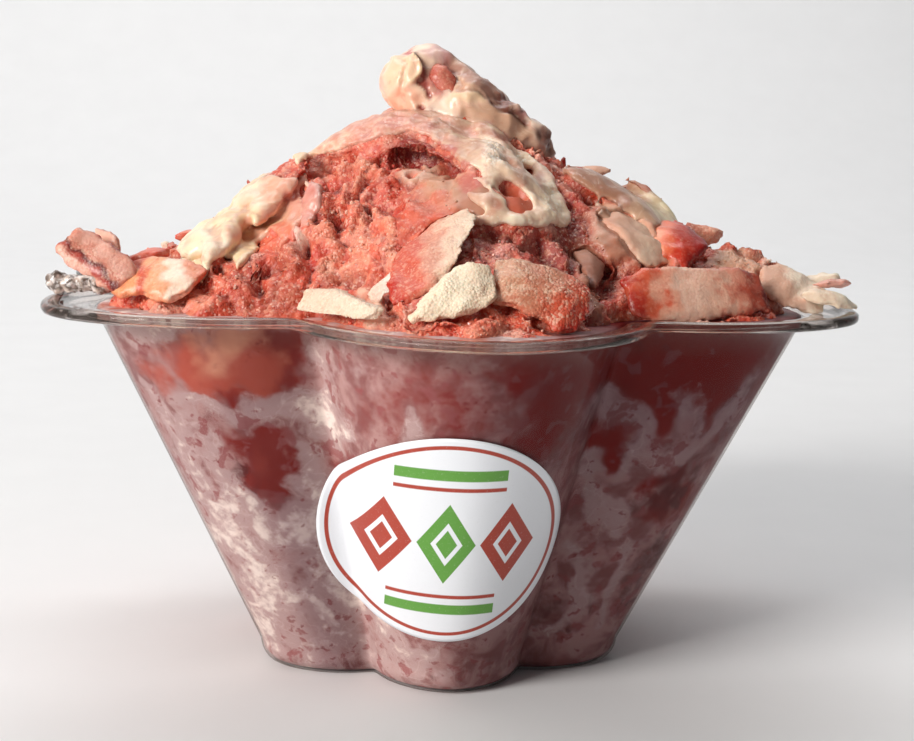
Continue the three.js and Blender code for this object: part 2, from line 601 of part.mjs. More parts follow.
function makeLabel() {
  const label = new THREE.BoxGeometry(2, 1, 2, 10, 1, 6);
  const position = label.attributes.position;
  for (let i = 0; i < position.count; i += 1) {
    const u = position.getX(i);
    const v = position.getZ(i);
    const x = LABEL.x + u * Math.sqrt(1 - v * v / 2) * LABEL.width / 2;
    const z = LABEL.z + v * Math.sqrt(1 - u * u / 2) * LABEL.height / 2;
    const out = LABEL.clear + LABEL.thick * (0.5 - position.getY(i));
    let angle = -Math.PI / 2;
    for (let pass = 0; pass < 12; pass += 1) {
      const radius = petalRadius(angle, wallTipRadius(z));
      angle = -Math.PI / 2 + Math.asin(x / radius);
    }
    const radius = petalRadius(angle, wallTipRadius(z)) + out / 0.85;
    position.setXYZ(i, radius * Math.cos(angle), radius * Math.sin(angle), z);
  }
  return label;
}

// ---- Assembly --------------------------------------------------------------------------------------------

const group = new THREE.Group();

function addPart(name, solid, material) {
  const mesh = new THREE.Mesh(geometryOf(solid), new THREE.MeshStandardMaterial(material));
  mesh.name = name;
  group.add(mesh);
}

const bowl = solidOf(makeBowl());
addPart('bowl', bowl, { color: '#d8d3cf', roughness: 0.12, transparent: true, opacity: 0.4 });
addPart('label', solidOf(makeLabel()), { color: '#eef1f4', roughness: 0.55 });

// Each topping is cut clear of those before it, and the ice is cut clear of them all.
const toppings = [
  ...FLAKES.map((piece) => ({
    name: piece.name,
    colour: piece.colour,
    solid: solidOf(makeFlake(piece)),
    clear: solidOf(makeFlake(piece, GAP)),
  })),
  ...DOLLOPS.map((piece) => ({
    name: piece.name,
    colour: piece.colour,
    solid: makeDollop(piece),
    clear: makeDollop(piece, GAP),
  })),
  ...TONGUES.map((piece) => ({
    name: piece.name,
    colour: piece.colour,
    solid: makeTongue(piece),
    clear: makeTongue(piece, GAP),
  })),
  { name: 'ice_clump_rim', colour: '#dcd6d2', solid: makeClump(), clear: makeClump(GAP) },
];

let taken = bowl;
let ice = makeCrumbs().reduce((whole, crumb) => whole.add(crumb), solidOf(makeIceBody()));
for (const topping of toppings) {
  const trimmed = mainPiece(topping.solid.subtract(taken));
  addPart(topping.name, trimmed, { color: topping.colour, roughness: 0.45 });
  taken = taken.add(topping.clear);
  ice = ice.subtract(topping.clear);
}
addPart('shaved_ice', mainPiece(ice), { color: '#c9766f', roughness: 0.7 });

export default group;
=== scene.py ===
"""Looks for the shaved ice dessert: packed ice, fruit, frozen slabs and poured cream in a clear petal bowl.

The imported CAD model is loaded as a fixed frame. Shapes are worked out in millimetres and stored in metres.
"""

import math

import bmesh
import bpy
import numpy as np
from mathutils import Matrix, Vector
from mathutils.bvhtree import BVHTree


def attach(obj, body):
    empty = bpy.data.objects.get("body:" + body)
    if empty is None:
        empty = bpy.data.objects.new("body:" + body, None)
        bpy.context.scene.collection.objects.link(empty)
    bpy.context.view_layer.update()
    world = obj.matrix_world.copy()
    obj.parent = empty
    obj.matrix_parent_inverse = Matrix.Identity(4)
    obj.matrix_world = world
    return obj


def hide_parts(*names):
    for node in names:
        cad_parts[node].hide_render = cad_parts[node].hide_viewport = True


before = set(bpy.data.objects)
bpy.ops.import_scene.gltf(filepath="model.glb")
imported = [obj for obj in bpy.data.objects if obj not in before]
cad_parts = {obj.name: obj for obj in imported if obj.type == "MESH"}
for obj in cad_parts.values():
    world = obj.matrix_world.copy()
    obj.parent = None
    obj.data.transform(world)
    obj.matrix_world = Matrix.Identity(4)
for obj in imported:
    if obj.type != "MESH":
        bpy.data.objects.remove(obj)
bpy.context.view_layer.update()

MM = 0.001


def linked(name, data):
    """A new object of the data, in the scene."""
    obj = bpy.data.objects.new(name, data)
    bpy.context.scene.collection.objects.link(obj)
    return obj


# ---- Camera: the photograph's place, turn and field of view ----

CAMERA_PLACE = (-0.03807, -0.34855, 0.11338)
CAMERA_YAW, CAMERA_PITCH, CAMERA_ROLL = 0.12, 0.1554, 0.0246
CAMERA_LENS = 65.12          # mm on a 36 mm sensor


def make_camera():
    """A camera that sees the dessert as the photograph does."""
    forward = Vector((
        math.sin(CAMERA_YAW) * math.cos(CAMERA_PITCH),
        math.cos(CAMERA_YAW) * math.cos(CAMERA_PITCH),
        -math.sin(CAMERA_PITCH)))
    right = Vector((math.cos(CAMERA_YAW), -math.sin(CAMERA_YAW), 0))
    up = right.cross(forward)
    c, s = math.cos(CAMERA_ROLL), math.sin(CAMERA_ROLL)
    across, above = right * c + up * s, up * c - right * s
    data = bpy.data.cameras.new("camera")
    data.lens = CAMERA_LENS
    data.sensor_width = 36
    data.sensor_fit = "HORIZONTAL"
    data.clip_start = 0.01
    camera = linked("camera", data)
    turn = Matrix((across, above, -forward)).transposed().to_4x4()
    camera.matrix_world = Matrix.Translation(CAMERA_PLACE) @ turn
    bpy.context.scene.camera = camera


make_camera()

# ---- Numbers and colours ----


def srgb(r, g, b):
    """A linear colour from the 0 to 255 values that a screen shows."""
    c = np.array([r, g, b]) / 255.0
    return np.where(c <= 0.04045, c / 12.92, ((c + 0.055) / 1.055) ** 2.4)


def smooth(x, low, high):
    """A soft step from 0 at low to 1 at high."""
    t = np.clip((x - low) / (high - low), 0, 1)
    return t * t * (3 - 2 * t)


def draws(i, j, k, salt):
    """A whole number from 0 to 2^32 for each cell, the same on every run."""
    n = (i * 374761393 + j * 668265263 + k * 1442695041 + salt * 974634773) & 0xFFFFFFFF
    n = ((n ^ (n >> 13)) * 1274126177) & 0xFFFFFFFF
    return n ^ (n >> 16)


def noise(points, size, salt=0):
    """Gradient noise from about -1 to 1, with cells of the given size (a number or one for each axis)."""
    q = points / size
    cell = np.floor(q).astype(np.int64)
    f = q - cell
    w = f * f * f * (f * (f * 6 - 15) + 10)
    total = np.zeros(len(points))
    for corner in np.ndindex(2, 2, 2):
        h = draws(*(cell[:, axis] + corner[axis] for axis in range(3)), salt)
        slope = [((h >> 10 * axis & 1023) / 511.5 - 1) * (f[:, axis] - corner[axis]) for axis in range(3)]
        near = [w[:, axis] if corner[axis] else 1 - w[:, axis] for axis in range(3)]
        total += near[0] * near[1] * near[2] * (slope[0] + slope[1] + slope[2])
    return 1.5 * total


def layered(points, size, octaves, salt=0):
    """Sums noise of ever smaller cells and shares."""
    total, share = 0, 1
    for octave in range(octaves):
        total = total + share * noise(points, np.array(size) / 2 ** octave, salt + octave)
        share *= 0.5
    return total


def warped(points, size, amount, salt=0):
    """Points pushed about by smooth noise, for streaks and swirls."""
    push = np.stack([noise(points, size, salt + 11 * axis + 3) for axis in range(3)], 1)
    return points + amount * push


def lumps(points, size, salt=0):
    """Packed lumps: how far inside its lump each point lies, from 0 in a crevice, and the lump's own draw."""
    q = points / size
    cell = np.floor(q).astype(np.int64)
    f = q - cell
    first, second = np.full(len(points), 9.0), np.full(len(points), 9.0)
    own = np.zeros(len(points))
    for step in np.ndindex(3, 3, 3):
        h = draws(*(cell[:, axis] + step[axis] - 1 for axis in range(3)), salt)
        gap = [step[axis] - 1 + (h >> 10 * axis & 1023) / 1023 - f[:, axis] for axis in range(3)]
        away = np.sqrt(gap[0] ** 2 + gap[1] ** 2 + gap[2] ** 2)
        nearer = away < first
        second = np.where(nearer, first, np.minimum(second, away))
        own = np.where(nearer, (h >> 7 & 1023) / 1023, own)
        first = np.where(nearer, away, first)
    return second - first, own


def blend(a, b, share):
    """Goes from a to b by a share, which may be one number or one for each point."""
    share = np.asarray(share)
    if share.ndim == 1:
        share = share[:, None]
    return a + (b - a) * share


# ---- Meshes as arrays: v is vertices in mm, f is faces of three or four ----


def mesh_of(v, f, scale=MM):
    """A mesh of the arrays, in metres unless another scale is given."""
    mesh = bpy.data.meshes.new("work")
    mesh.vertices.add(len(v))
    mesh.vertices.foreach_set("co", (np.asarray(v) * scale).astype(np.float32).ravel())
    corners = f.shape[1]
    mesh.loops.add(f.size)
    mesh.loops.foreach_set("vertex_index", f.astype(np.int32).ravel())
    mesh.polygons.add(len(f))
    mesh.polygons.foreach_set("loop_start", np.arange(len(f), dtype=np.int32) * corners)
    mesh.update(calc_edges=True)
    return mesh


def cad(node):
    """A CAD node's vertices in mm and its triangles."""
    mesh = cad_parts[node].data
    v = np.zeros(len(mesh.vertices) * 3, np.float32)
    mesh.vertices.foreach_get("co", v)
    mesh.calc_loop_triangles()
    f = np.zeros(len(mesh.loop_triangles) * 3, np.int32)
    mesh.loop_triangles.foreach_get("vertices", f)
    return v.reshape(-1, 3).astype(float) * (1 / MM), f.reshape(-1, 3)


def joined(parts):
    """Several meshes as one."""
    v, f, base = [], [], 0
    for part_v, part_f in parts:
        v.append(part_v)
        f.append(part_f + base)
        base += len(part_v)
    return np.concatenate(v), np.concatenate(f)


def halved(f):
    """Squares as triangles."""
    return np.concatenate([f[:, :3], f[:, [0, 2, 3]]])


def tree_of(nodes):
    """A search tree over the faces of CAD nodes."""
    v, f = joined([cad(node) for node in nodes])
    return BVHTree.FromPolygons(v.tolist(), f.tolist())


def distance_to(tree, points):
    """How far each point lies from the nearest face of a tree."""
    return np.array([tree.find_nearest(Vector(p))[3] for p in points])


def cut_front(v, cuts, share=1):
    """Presses what lies beyond straight cuts back to them: x and height of a place, and the way it faces."""
    for x, z, way_x, way_z in cuts:
        beyond = np.maximum((v[:, 0] - x) * way_x + (v[:, 2] - z) * way_z, 0)
        v = v - share * beyond[:, None] * np.array([way_x, 0, way_z])
    return v


def remesh(v, f, size):
    """The same closed form as an even net of squares."""
    mesh = mesh_of(v, f, 1)
    obj = linked("work", mesh)
    voxels = obj.modifiers.new("voxels", "REMESH")
    voxels.mode = "VOXEL"
    voxels.voxel_size = size
    done = bpy.data.meshes.new_from_object(obj.evaluated_get(bpy.context.evaluated_depsgraph_get()))
    out = np.zeros(len(done.vertices) * 3, np.float32)
    done.vertices.foreach_get("co", out)
    faces = np.zeros(len(done.loops), np.int32)
    done.loops.foreach_get("vertex_index", faces)
    bpy.data.objects.remove(obj)
    bpy.data.meshes.remove(mesh)
    bpy.data.meshes.remove(done)
    return out.reshape(-1, 3).astype(float), faces.reshape(-1, 4)


def links_of(f):
    """Both ends of every edge, once each way for each face."""
    a, b = f.ravel(), np.roll(f, -1, axis=1).ravel()
    return np.concatenate([a, b]), np.concatenate([b, a])


def spread(values, f, count, times, amount=0.5):
    """Values at vertices averaged with their neighbours."""
    i, j = links_of(f)
    near = np.maximum(np.bincount(i, minlength=count), 1)
    values = np.array(values, float)
    flat = values.ndim == 1
    if flat:
        values = values[:, None]
    for _ in range(times):
        mean = np.stack([np.bincount(i, weights=values[j, c], minlength=count) / near
                         for c in range(values.shape[1])], 1)
        values = values + amount * (mean - values)
    return values[:, 0] if flat else values


def relax(v, f, times, amount=0.5):
    """Draws each vertex towards the mean of its neighbours."""
    return spread(v, f, len(v), times, amount)


def relax_full(v, f, times):
    """Smoothing that keeps the volume: each step in is followed by one out."""
    for _ in range(times):
        v = relax(v, f, 1, 0.55)
        v = relax(v, f, 1, -0.57)
    return v


def normals(v, f):
    """A unit normal at each vertex."""
    if f.shape[1] == 4:
        n = np.cross(v[f[:, 2]] - v[f[:, 0]], v[f[:, 3]] - v[f[:, 1]])
    else:
        n = np.cross(v[f[:, 1]] - v[f[:, 0]], v[f[:, 2]] - v[f[:, 0]])
    total = np.zeros_like(v)
    for corner in range(f.shape[1]):
        for axis in range(3):
            total[:, axis] += np.bincount(f[:, corner], weights=n[:, axis], minlength=len(v))
    return total / np.maximum(np.linalg.norm(total, axis=1, keepdims=True), 1e-12)


def pits(v, f, times):
    """How deep each vertex lies under the smoothed surface, in mm: above zero in pits."""
    level = relax(v, f, times)
    return ((level - v) * normals(level, f)).sum(1)


def make_object(name, v, f, material, colours=None, values=None, is_smooth=True):
    """An object of the arrays, with colours and values stored at its vertices."""
    mesh = mesh_of(v, f)
    for key, data in (colours or {}).items():
        layer = mesh.attributes.new(key, "FLOAT_COLOR", "POINT")
        rgba = np.ones((len(v), 4), np.float32)
        rgba[:, :3] = np.clip(data, 0, 1)
        layer.data.foreach_set("color", rgba.ravel())
    for key, data in (values or {}).items():
        layer = mesh.attributes.new(key, "FLOAT", "POINT")
        layer.data.foreach_set("value", np.broadcast_to(data, len(v)).astype(np.float32))
    mesh.polygons.foreach_set("use_smooth", np.full(len(mesh.polygons), is_smooth))
    mesh.materials.append(material)
    mesh.name = name
    return linked(name, mesh)


def hand_over(piece, slot, *nodes):
    """The piece moves with the dessert and the nodes are hidden; the slot is not used."""
    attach(piece, "root")
    if nodes:
        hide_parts(*nodes)


def plate_faces(across, along):
    """Faces of a closed plate: an under layer of (across + 1) by (along + 1) points, then the upper layer."""
    count = (across + 1) * (along + 1)
    i, j = np.meshgrid(np.arange(across), np.arange(along), indexing="ij")
    a = (i * (along + 1) + j).ravel()
    upper = np.stack([a, a + along + 1, a + along + 2, a + 1], 1) + count
    under = np.stack([a, a + 1, a + along + 2, a + along + 1], 1)
    row, column = np.arange(across + 1) * (along + 1), np.arange(along + 1)
    walk = np.concatenate([row, row[-1] + column[1:], row[::-1][1:] + along, column[::-1][1:-1]])
    following = np.roll(walk, -1)
    rim = np.stack([walk, following, following + count, walk + count], 1)
    return np.concatenate([upper, under, rim])


def disc(across, along):
    """A net of (across + 1) by (along + 1) points, drawn in from a square to a disc of radius 1."""
    u, w = np.meshgrid(np.linspace(-1, 1, across + 1), np.linspace(-1, 1, along + 1), indexing="ij")
    return u * np.sqrt(1 - w * w / 2), w * np.sqrt(1 - u * u / 2)


# ---- Shader graphs ----


class Graph:
    """A material's node tree, with a short call for each kind of node in it."""

    def __init__(self, name):
        self.material = bpy.data.materials.new(name)
        self.material.use_nodes = True
        self.tree = self.material.node_tree
        self.tree.nodes.clear()
        self.output = self.tree.nodes.new("ShaderNodeOutputMaterial")

    def give(self, socket, value):
        """Links an output to an input, or sets the input to a number or a colour."""
        if isinstance(value, bpy.types.NodeSocket):
            self.tree.links.new(value, socket)
        elif isinstance(value, (tuple, list, np.ndarray)):
            wanted = len(socket.default_value)
            value = [float(x) for x in value]
            socket.default_value = value + [1.0] * (wanted - len(value))
        else:
            socket.default_value = value

    def node(self, kind, settings=None, **inputs):
        node = self.tree.nodes.new("ShaderNode" + kind)
        for key, value in (settings or {}).items():
            setattr(node, key, value)
        for key, value in inputs.items():
            self.give(node.inputs[key.replace("_", " ")], value)
        return node

    def place(self):
        return self.node("TexCoord").outputs["Object"]

    def attribute(self, name, output="Color"):
        return self.node("Attribute", {"attribute_name": name}).outputs[output]

    def math(self, kind, a, b=0.0, clamp=False):
        node = self.node("Math", {"operation": kind, "use_clamp": clamp})
        self.give(node.inputs[0], a)
        self.give(node.inputs[1], b)
        return node.outputs[0]

    def times(self, a, b):
        return self.math("MULTIPLY", a, b)

    def plus(self, a, b, clamp=False):
        return self.math("ADD", a, b, clamp)

    def size(self, a):
        return self.math("ABSOLUTE", a)

    def mix(self, a, b, share, kind="MIX"):
        node = self.node("Mix", {"data_type": "RGBA", "blend_type": kind})
        self.give(node.inputs[0], share)
        self.give(node.inputs[6], a)
        self.give(node.inputs[7], b)
        return node.outputs[2]

    def noise(self, place, size_mm, detail=3.0, rough=0.55, distortion=0.0):
        node = self.node("TexNoise", None, Vector=place, Scale=1 / (size_mm * MM), Detail=detail,
                         Roughness=rough, Distortion=distortion)
        return node.outputs["Fac"]

    def grains(self, place, size_mm):
        """Packed grains: each one's own draw from 0 to 1, and its dome."""
        node = self.node("TexVoronoi", {"feature": "F1"}, Vector=place, Scale=1 / (size_mm * MM))
        split = self.node("SeparateColor")
        self.give(split.inputs[0], node.outputs["Color"])
        return split.outputs[0], self.math("SUBTRACT", 1.0, node.outputs["Distance"])

    def ramp(self, value, low, high, to_low=0.0, to_high=1.0):
        node = self.node("MapRange", {"interpolation_type": "SMOOTHSTEP"})
        self.give(node.inputs[0], value)
        for index, number in ((1, low), (2, high), (3, to_low), (4, to_high)):
            node.inputs[index].default_value = number
        return node.outputs[0]

    def over(self, under, colour, value, low, high, to_low, to_high, within=None):
        """Lays a screen colour over another: its share is a soft step of the value, times a mask if given."""
        share = self.ramp(value, low, high, to_low, to_high)
        return self.mix(under, srgb(*colour), share if within is None else self.times(share, within))

    def bump(self, height, depth_mm, strength=1.0, under=None):
        node = self.node("Bump", None, Height=height, Distance=depth_mm * MM, Strength=strength)
        if under is not None:
            self.give(node.inputs["Normal"], under)
        return node.outputs["Normal"]

    def surface(self, shader):
        self.tree.links.new(shader, self.output.inputs["Surface"])
        return self.material

    def principled(self, colour, normal=None, **inputs):
        node = self.node("BsdfPrincipled", None, **inputs)
        self.give(node.inputs["Base Color"], colour)
        if normal is not None:
            self.give(node.inputs["Normal"], normal)
        return node.outputs[0]

    def mix_shader(self, share, a, b):
        node = self.node("MixShader", None, Fac=share)
        self.give(node.inputs[1], a.outputs[0])
        self.give(node.inputs[2], b.outputs[0])
        return node


def ice_material():
    """Wet granular ice: the colour comes with the mesh, finer grains and glints from here."""
    g = Graph("shaved_ice")
    at = g.place()
    coarse = g.attribute("frost", "Fac")
    own, dome = g.grains(at, 0.8)
    own_small, dome_small = g.grains(at, 0.42)
    soft = g.noise(at, 2.6, 3.0, 0.6)
    colour = g.over(g.attribute("tint"), (176, 44, 30), soft, 0.52, 0.74, 0, 0.3, coarse)
    colour = g.over(colour, (250, 184, 150), own, 0.5, 1.0, 0, 0.34, coarse)
    colour = g.over(colour, (176, 42, 30), own, 0.0, 0.4, 0.18, 0, coarse)
    colour = g.over(colour, (255, 226, 208), own_small, 0.8, 1.0, 0, 0.45, coarse)
    normal = g.bump(g.times(dome_small, coarse), 0.22, 0.7)
    normal = g.bump(g.times(dome, coarse), 0.36, 0.7, normal)
    normal = g.bump(soft, 0.4, 0.4, normal)
    return g.surface(g.principled(
        colour, normal, Roughness=g.ramp(own_small, 0.0, 1.0, 0.4, 0.6), Subsurface_Weight=0.3,
        Subsurface_Radius=(1.0, 0.42, 0.34), Subsurface_Scale=1.6 * MM, Coat_Weight=0.08, Coat_Roughness=0.2))


def fruit_material():
    """Cut strawberry: moist flesh with faint fibres, dusted with frost where the mesh says so."""
    g = Graph("strawberry")
    at = g.place()
    frost = g.attribute("frost", "Fac")
    fibres = g.noise(at, 1.6, 3.0, 0.6, 1.2)
    own, dome = g.grains(at, 0.5)
    colour = g.over(g.attribute("tint"), (252, 204, 176), fibres, 0.54, 0.76, 0, 0.14)
    colour = g.over(colour, (156, 28, 18), fibres, 0.24, 0.44, 0.28, 0)
    colour = g.over(colour, (252, 228, 200), own, 0.5, 1.0, 0, 0.6, frost)
    colour = g.over(colour, (170, 60, 40), own, 0.0, 0.35, 0.35, 0, frost)
    normal = g.bump(g.times(dome, frost), 0.35, 0.8)
    normal = g.bump(fibres, 0.3, 0.35, normal)
    return g.surface(g.principled(
        colour, normal, Roughness=g.plus(0.34, g.times(0.3, frost), True), Subsurface_Weight=0.25,
        Subsurface_Radius=(1.0, 0.35, 0.25), Subsurface_Scale=1.5 * MM, Coat_Weight=0.1, Coat_Roughness=0.2))


def frozen_material():
    """Frozen milk slabs: pale, dry and finely grainy where the mesh says so, smooth elsewhere."""
    g = Graph("frozen_milk_ice")
    at = g.place()
    frost = g.attribute("frost", "Fac")
    own, dome = g.grains(at, 0.5)
    own_large, dome_large = g.grains(at, 1.1)
    patch = g.noise(at, 2.4, 3.0, 0.6, 0.8)
    colour = g.over(g.attribute("tint"), (255, 244, 224), own, 0.5, 1.0, 0, 0.32, frost)
    colour = g.over(colour, (196, 128, 100), own, 0.0, 0.34, 0.26, 0, frost)
    colour = g.over(colour, (212, 140, 116), patch, 0.5, 0.76, 0, 0.22)
    colour = g.over(colour, (252, 236, 212), own_large, 0.7, 1.0, 0, 0.2, frost)
    normal = g.bump(g.times(dome, frost), 0.32, 0.75)
    normal = g.bump(g.times(dome_large, frost), 0.3, 0.35, normal)
    normal = g.bump(patch, 0.25, 0.3, normal)
    return g.surface(g.principled(
        colour, normal, Roughness=g.ramp(own, 0.0, 1.0, 0.45, 0.7), Subsurface_Weight=0.25,
        Subsurface_Radius=(1.0, 0.6, 0.45), Subsurface_Scale=1.3 * MM))


def cream_material():
    """Condensed milk: smooth and glossy, with faint streaks, and grains where it has frozen."""
    g = Graph("cream")
    at = g.place()
    frost = g.attribute("frost", "Fac")
    streaks = g.noise(at, 3.2, 3.0, 0.55, 1.4)
    own, dome = g.grains(at, 0.5)
    colour = g.over(g.attribute("tint"), (250, 228, 200), streaks, 0.5, 0.7, 0, 0.25)
    colour = g.over(colour, (192, 112, 92), streaks, 0.26, 0.44, 0.36, 0)
    colour = g.over(colour, (255, 244, 232), own, 0.6, 1.0, 0, 0.8, frost)
    normal = g.bump(streaks, 0.35, 0.3)
    normal = g.bump(g.times(dome, frost), 0.2, 0.7, normal)
    return g.surface(g.principled(
        colour, normal, Roughness=g.plus(0.33, g.times(0.3, frost), True), Subsurface_Weight=0.3,
        Subsurface_Radius=(1.0, 0.7, 0.5), Subsurface_Scale=1.2 * MM, Coat_Weight=0.12, Coat_Roughness=0.15))


def crystal_material():
    """Loose grains of clear, wet ice."""
    g = Graph("clear_ice")
    cloud = g.noise(g.place(), 0.9, 2.0)
    colour = g.over(g.attribute("tint"), (255, 246, 242), cloud, 0.45, 0.7, 0, 0.6)
    return g.surface(g.principled(
        colour, g.bump(cloud, 0.2, 0.5), Roughness=g.ramp(cloud, 0.3, 0.7, 0.18, 0.4),
        Subsurface_Weight=0.4, Subsurface_Radius=(1.0, 0.7, 0.6), Subsurface_Scale=1.2 * MM,
        Coat_Weight=0.25, Coat_Roughness=0.1))


def fill_material():
    """The packed ice behind the wall: milk streaks, red juice, as marble is, and pockets with painted shade.
    """
    g = Graph("packed_ice")
    at = g.place()
    zones = g.node("SeparateColor")
    g.give(zones.inputs[0], g.attribute("zones"))
    # the third zone is the painted shade of the pockets
    milk, red, pocket_shade = zones.outputs[0], zones.outputs[1], zones.outputs[2]
    # deep is painted shade over the red juice on the right
    deep, salmon, peach = (g.attribute(name, "Fac") for name in ("deep", "salmon", "peach"))
    fine, finer = g.noise(at, 2.6, 3.0, 0.55, 0.3), g.noise(at, 1.0, 3.0, 0.6, 0.2)
    shift = g.math("SUBTRACT", g.plus(g.times(fine, 0.8), g.times(finer, 0.2)), 0.5)
    mottle = g.noise(at, 6.0, 4.0, 0.55, 0.5)
    body = g.over(srgb(146, 94, 92), (188, 148, 144), mottle, 0.36, 0.64, 0, 1)
    for zone, torn, colour, low, high, most in (
            (red, 0.8, (142, 44, 38), 0.12, 0.85, 0.97), (deep, 0.6, (150, 26, 22), 0.1, 0.8, 0.95),
            (salmon, 0.8, (190, 90, 72), 0.15, 1.0, 0.95), (peach, 0.8, (230, 166, 136), 0.2, 1.0, 0.9),
            (pocket_shade, 1.0, (96, 46, 46), 0.36, 0.9, 0.8), (milk, 1.1, (194, 164, 161), 0.25, 0.75, 0.95)):
        share = g.plus(zone, g.times(shift, torn))
        body = g.over(body, colour, share, low, high, 0, most)
    # on the milk: red blots, white crests and thin pale veins, then dark flecks over all
    clear_of = g.times(g.ramp(milk, 0.75, 1.1, 1, 0.3), g.ramp(salmon, 0.1, 0.4, 1, 0))
    body = g.over(body, (156, 88, 88), g.noise(at, 3.6, 3.0, 0.5, 0.25), 0.575, 0.63, 0, 0.75, clear_of)
    body = g.over(body, (248, 232, 222), share, 0.82, 1.15, 0, 0.92)
    veins = g.size(g.math("SUBTRACT", g.noise(at, 6.0, 3.0, 0.5, 0.5), 0.5))
    body = g.over(body, (240, 218, 212), veins, 0.0, 0.025, 0.18, 0, g.ramp(milk, 0.1, 0.5))
    flecks = g.noise(at, 1.7, 2.0, 0.5, 0.3)
    body = g.over(body, (132, 42, 46), flecks, 0.62, 0.7, 0, 0.6, g.ramp(mottle, 0.45, 0.6, 0.1, 1))
    # painted shade: the shade values darken the colour on the right, in the left valley and on the left
    body = g.mix(body, (0.45, 0.38, 0.435), g.attribute("shade", "Fac"), "MULTIPLY")
    return g.surface(g.principled(
        body, g.bump(shift, 0.4, 0.25), Roughness=0.5, Specular_IOR_Level=0.12, Subsurface_Weight=0.12,
        Subsurface_Radius=(1.0, 0.5, 0.45), Subsurface_Scale=1.5 * MM))


def bowl_material():
    """Thin clear plastic: light passes, edges turn grey, gloss lies on top."""
    g = Graph("bowl_plastic")
    at = g.place()
    rim = g.attribute("rim", "Fac")
    normal = g.bump(g.noise(at, 16.0, 1.0, 0.4), 0.5, 0.35)
    edge = g.node("LayerWeight", None, Blend=0.35)
    # grey at grazing angles: partly the plastic seen edge-on, partly a painted reflection of dark
    # surroundings
    through = g.mix((0.975, 0.97, 0.965), (0.6, 0.56, 0.54), g.ramp(edge.outputs["Facing"], 0.5, 1.0))
    through = g.mix(through, (0.84, 0.78, 0.75), g.times(rim, 0.6))
    clear = g.node("BsdfTransparent", None, Color=through)
    gloss = g.node("BsdfGlossy", {"distribution": "GGX"}, Color=(1, 1, 1),
                   Roughness=g.ramp(g.noise(at, 1.2, 3.0, 0.6), 0.4, 0.7, 0.05, 0.16), Normal=normal)
    haze = g.node("BsdfDiffuse", None, Color=srgb(218, 194, 180))
    film = g.plus(g.ramp(g.noise(at, 9.0, 3.0), 0.35, 0.75, 0.0, 0.008), g.times(rim, 0.05))
    shine = g.node("Fresnel", None, IOR=1.15, Normal=normal)
    share = g.times(shine.outputs[0], g.plus(0.5, g.times(0.7, rim)))
    return g.surface(g.mix_shader(share, g.mix_shader(film, clear, haze), gloss).outputs[0])


# ---- The bowl's outline, as in the CAD model ----

RIM_RADIUS = 88.0
BOWL_HEIGHT = 76.6
PETALS = 6
VALLEY_RATIO = 0.749
PETAL_POWER = 1.64
VALLEY_SOFTNESS = 2.2
FLANGE_WIDTH = 9.8
FLANGE_THICKNESS = 1.1
FLANGE_STEP = 0.7
LIP_DROP = 1.3
BASE_RADIUS = 39.4
BASE_ROUND = 4.5
WALL = 1.2
WALL_AROUND, WALL_ROWS = 300, 12


def sharp_petal(angle, tip):
    """The petal outline's radius before its valleys are rounded, where tip is the radius at a petal's tip."""
    turn = (angle + math.pi / 2) / (2 * math.pi / PETALS) + 0.5
    from_tip = np.abs(turn - np.floor(turn) - 0.5) * 2
    return tip * (1 - (1 - VALLEY_RATIO) * from_tip ** PETAL_POWER)


def petal_radius(angle, tip):
    """The outline's radius, its valleys rounded."""
    side = math.radians(VALLEY_SOFTNESS)
    return (sharp_petal(angle - side, tip) + 2 * sharp_petal(angle, tip) + sharp_petal(angle + side, tip)) / 4


def wall_tip(z):
    """The wall's radius at a petal's tip, at a height."""
    return BASE_RADIUS + (RIM_RADIUS - FLANGE_WIDTH - BASE_RADIUS) * z / BOWL_HEIGHT


def petal_ring(tip, z, around):
    """Points round the outline at a height."""
    angle = 2 * math.pi * np.arange(around) / around
    radius = petal_radius(angle, tip)
    return np.stack([radius * np.cos(angle), radius * np.sin(angle), np.full(around, float(z))], 1)


def rounded_foot(inset, floor, rounding, steps, around):
    """Rings of the round edge between the floor and the wall, from the floor up."""
    rings = []
    for k in range(steps + 1):
        turn = math.pi / 2 * k / steps
        z = floor + rounding * (1 - math.cos(turn))
        tip = wall_tip(floor + rounding) - inset - rounding * (1 - math.sin(turn)) * 0.9
        rings.append(petal_ring(tip, z, around))
    return rings


def loft(rings, first, last):
    """Squares between rings, with a fan of thin squares at either end."""
    around = len(rings[0])
    v = np.concatenate([*rings, [first, last]])
    k = np.arange(around)
    following = (k + 1) % around
    faces = [np.stack([np.full(around, len(v) - 2), following, k], 1)]
    for r in range(len(rings) - 1):
        low, high = r * around, (r + 1) * around
        faces.append(np.stack([low + k, low + following, high + k], 1))
        faces.append(np.stack([low + following, high + following, high + k], 1))
    low = (len(rings) - 1) * around
    faces.append(np.stack([low + k, low + following, np.full(around, len(v) - 1)], 1))
    return v, np.concatenate(faces)


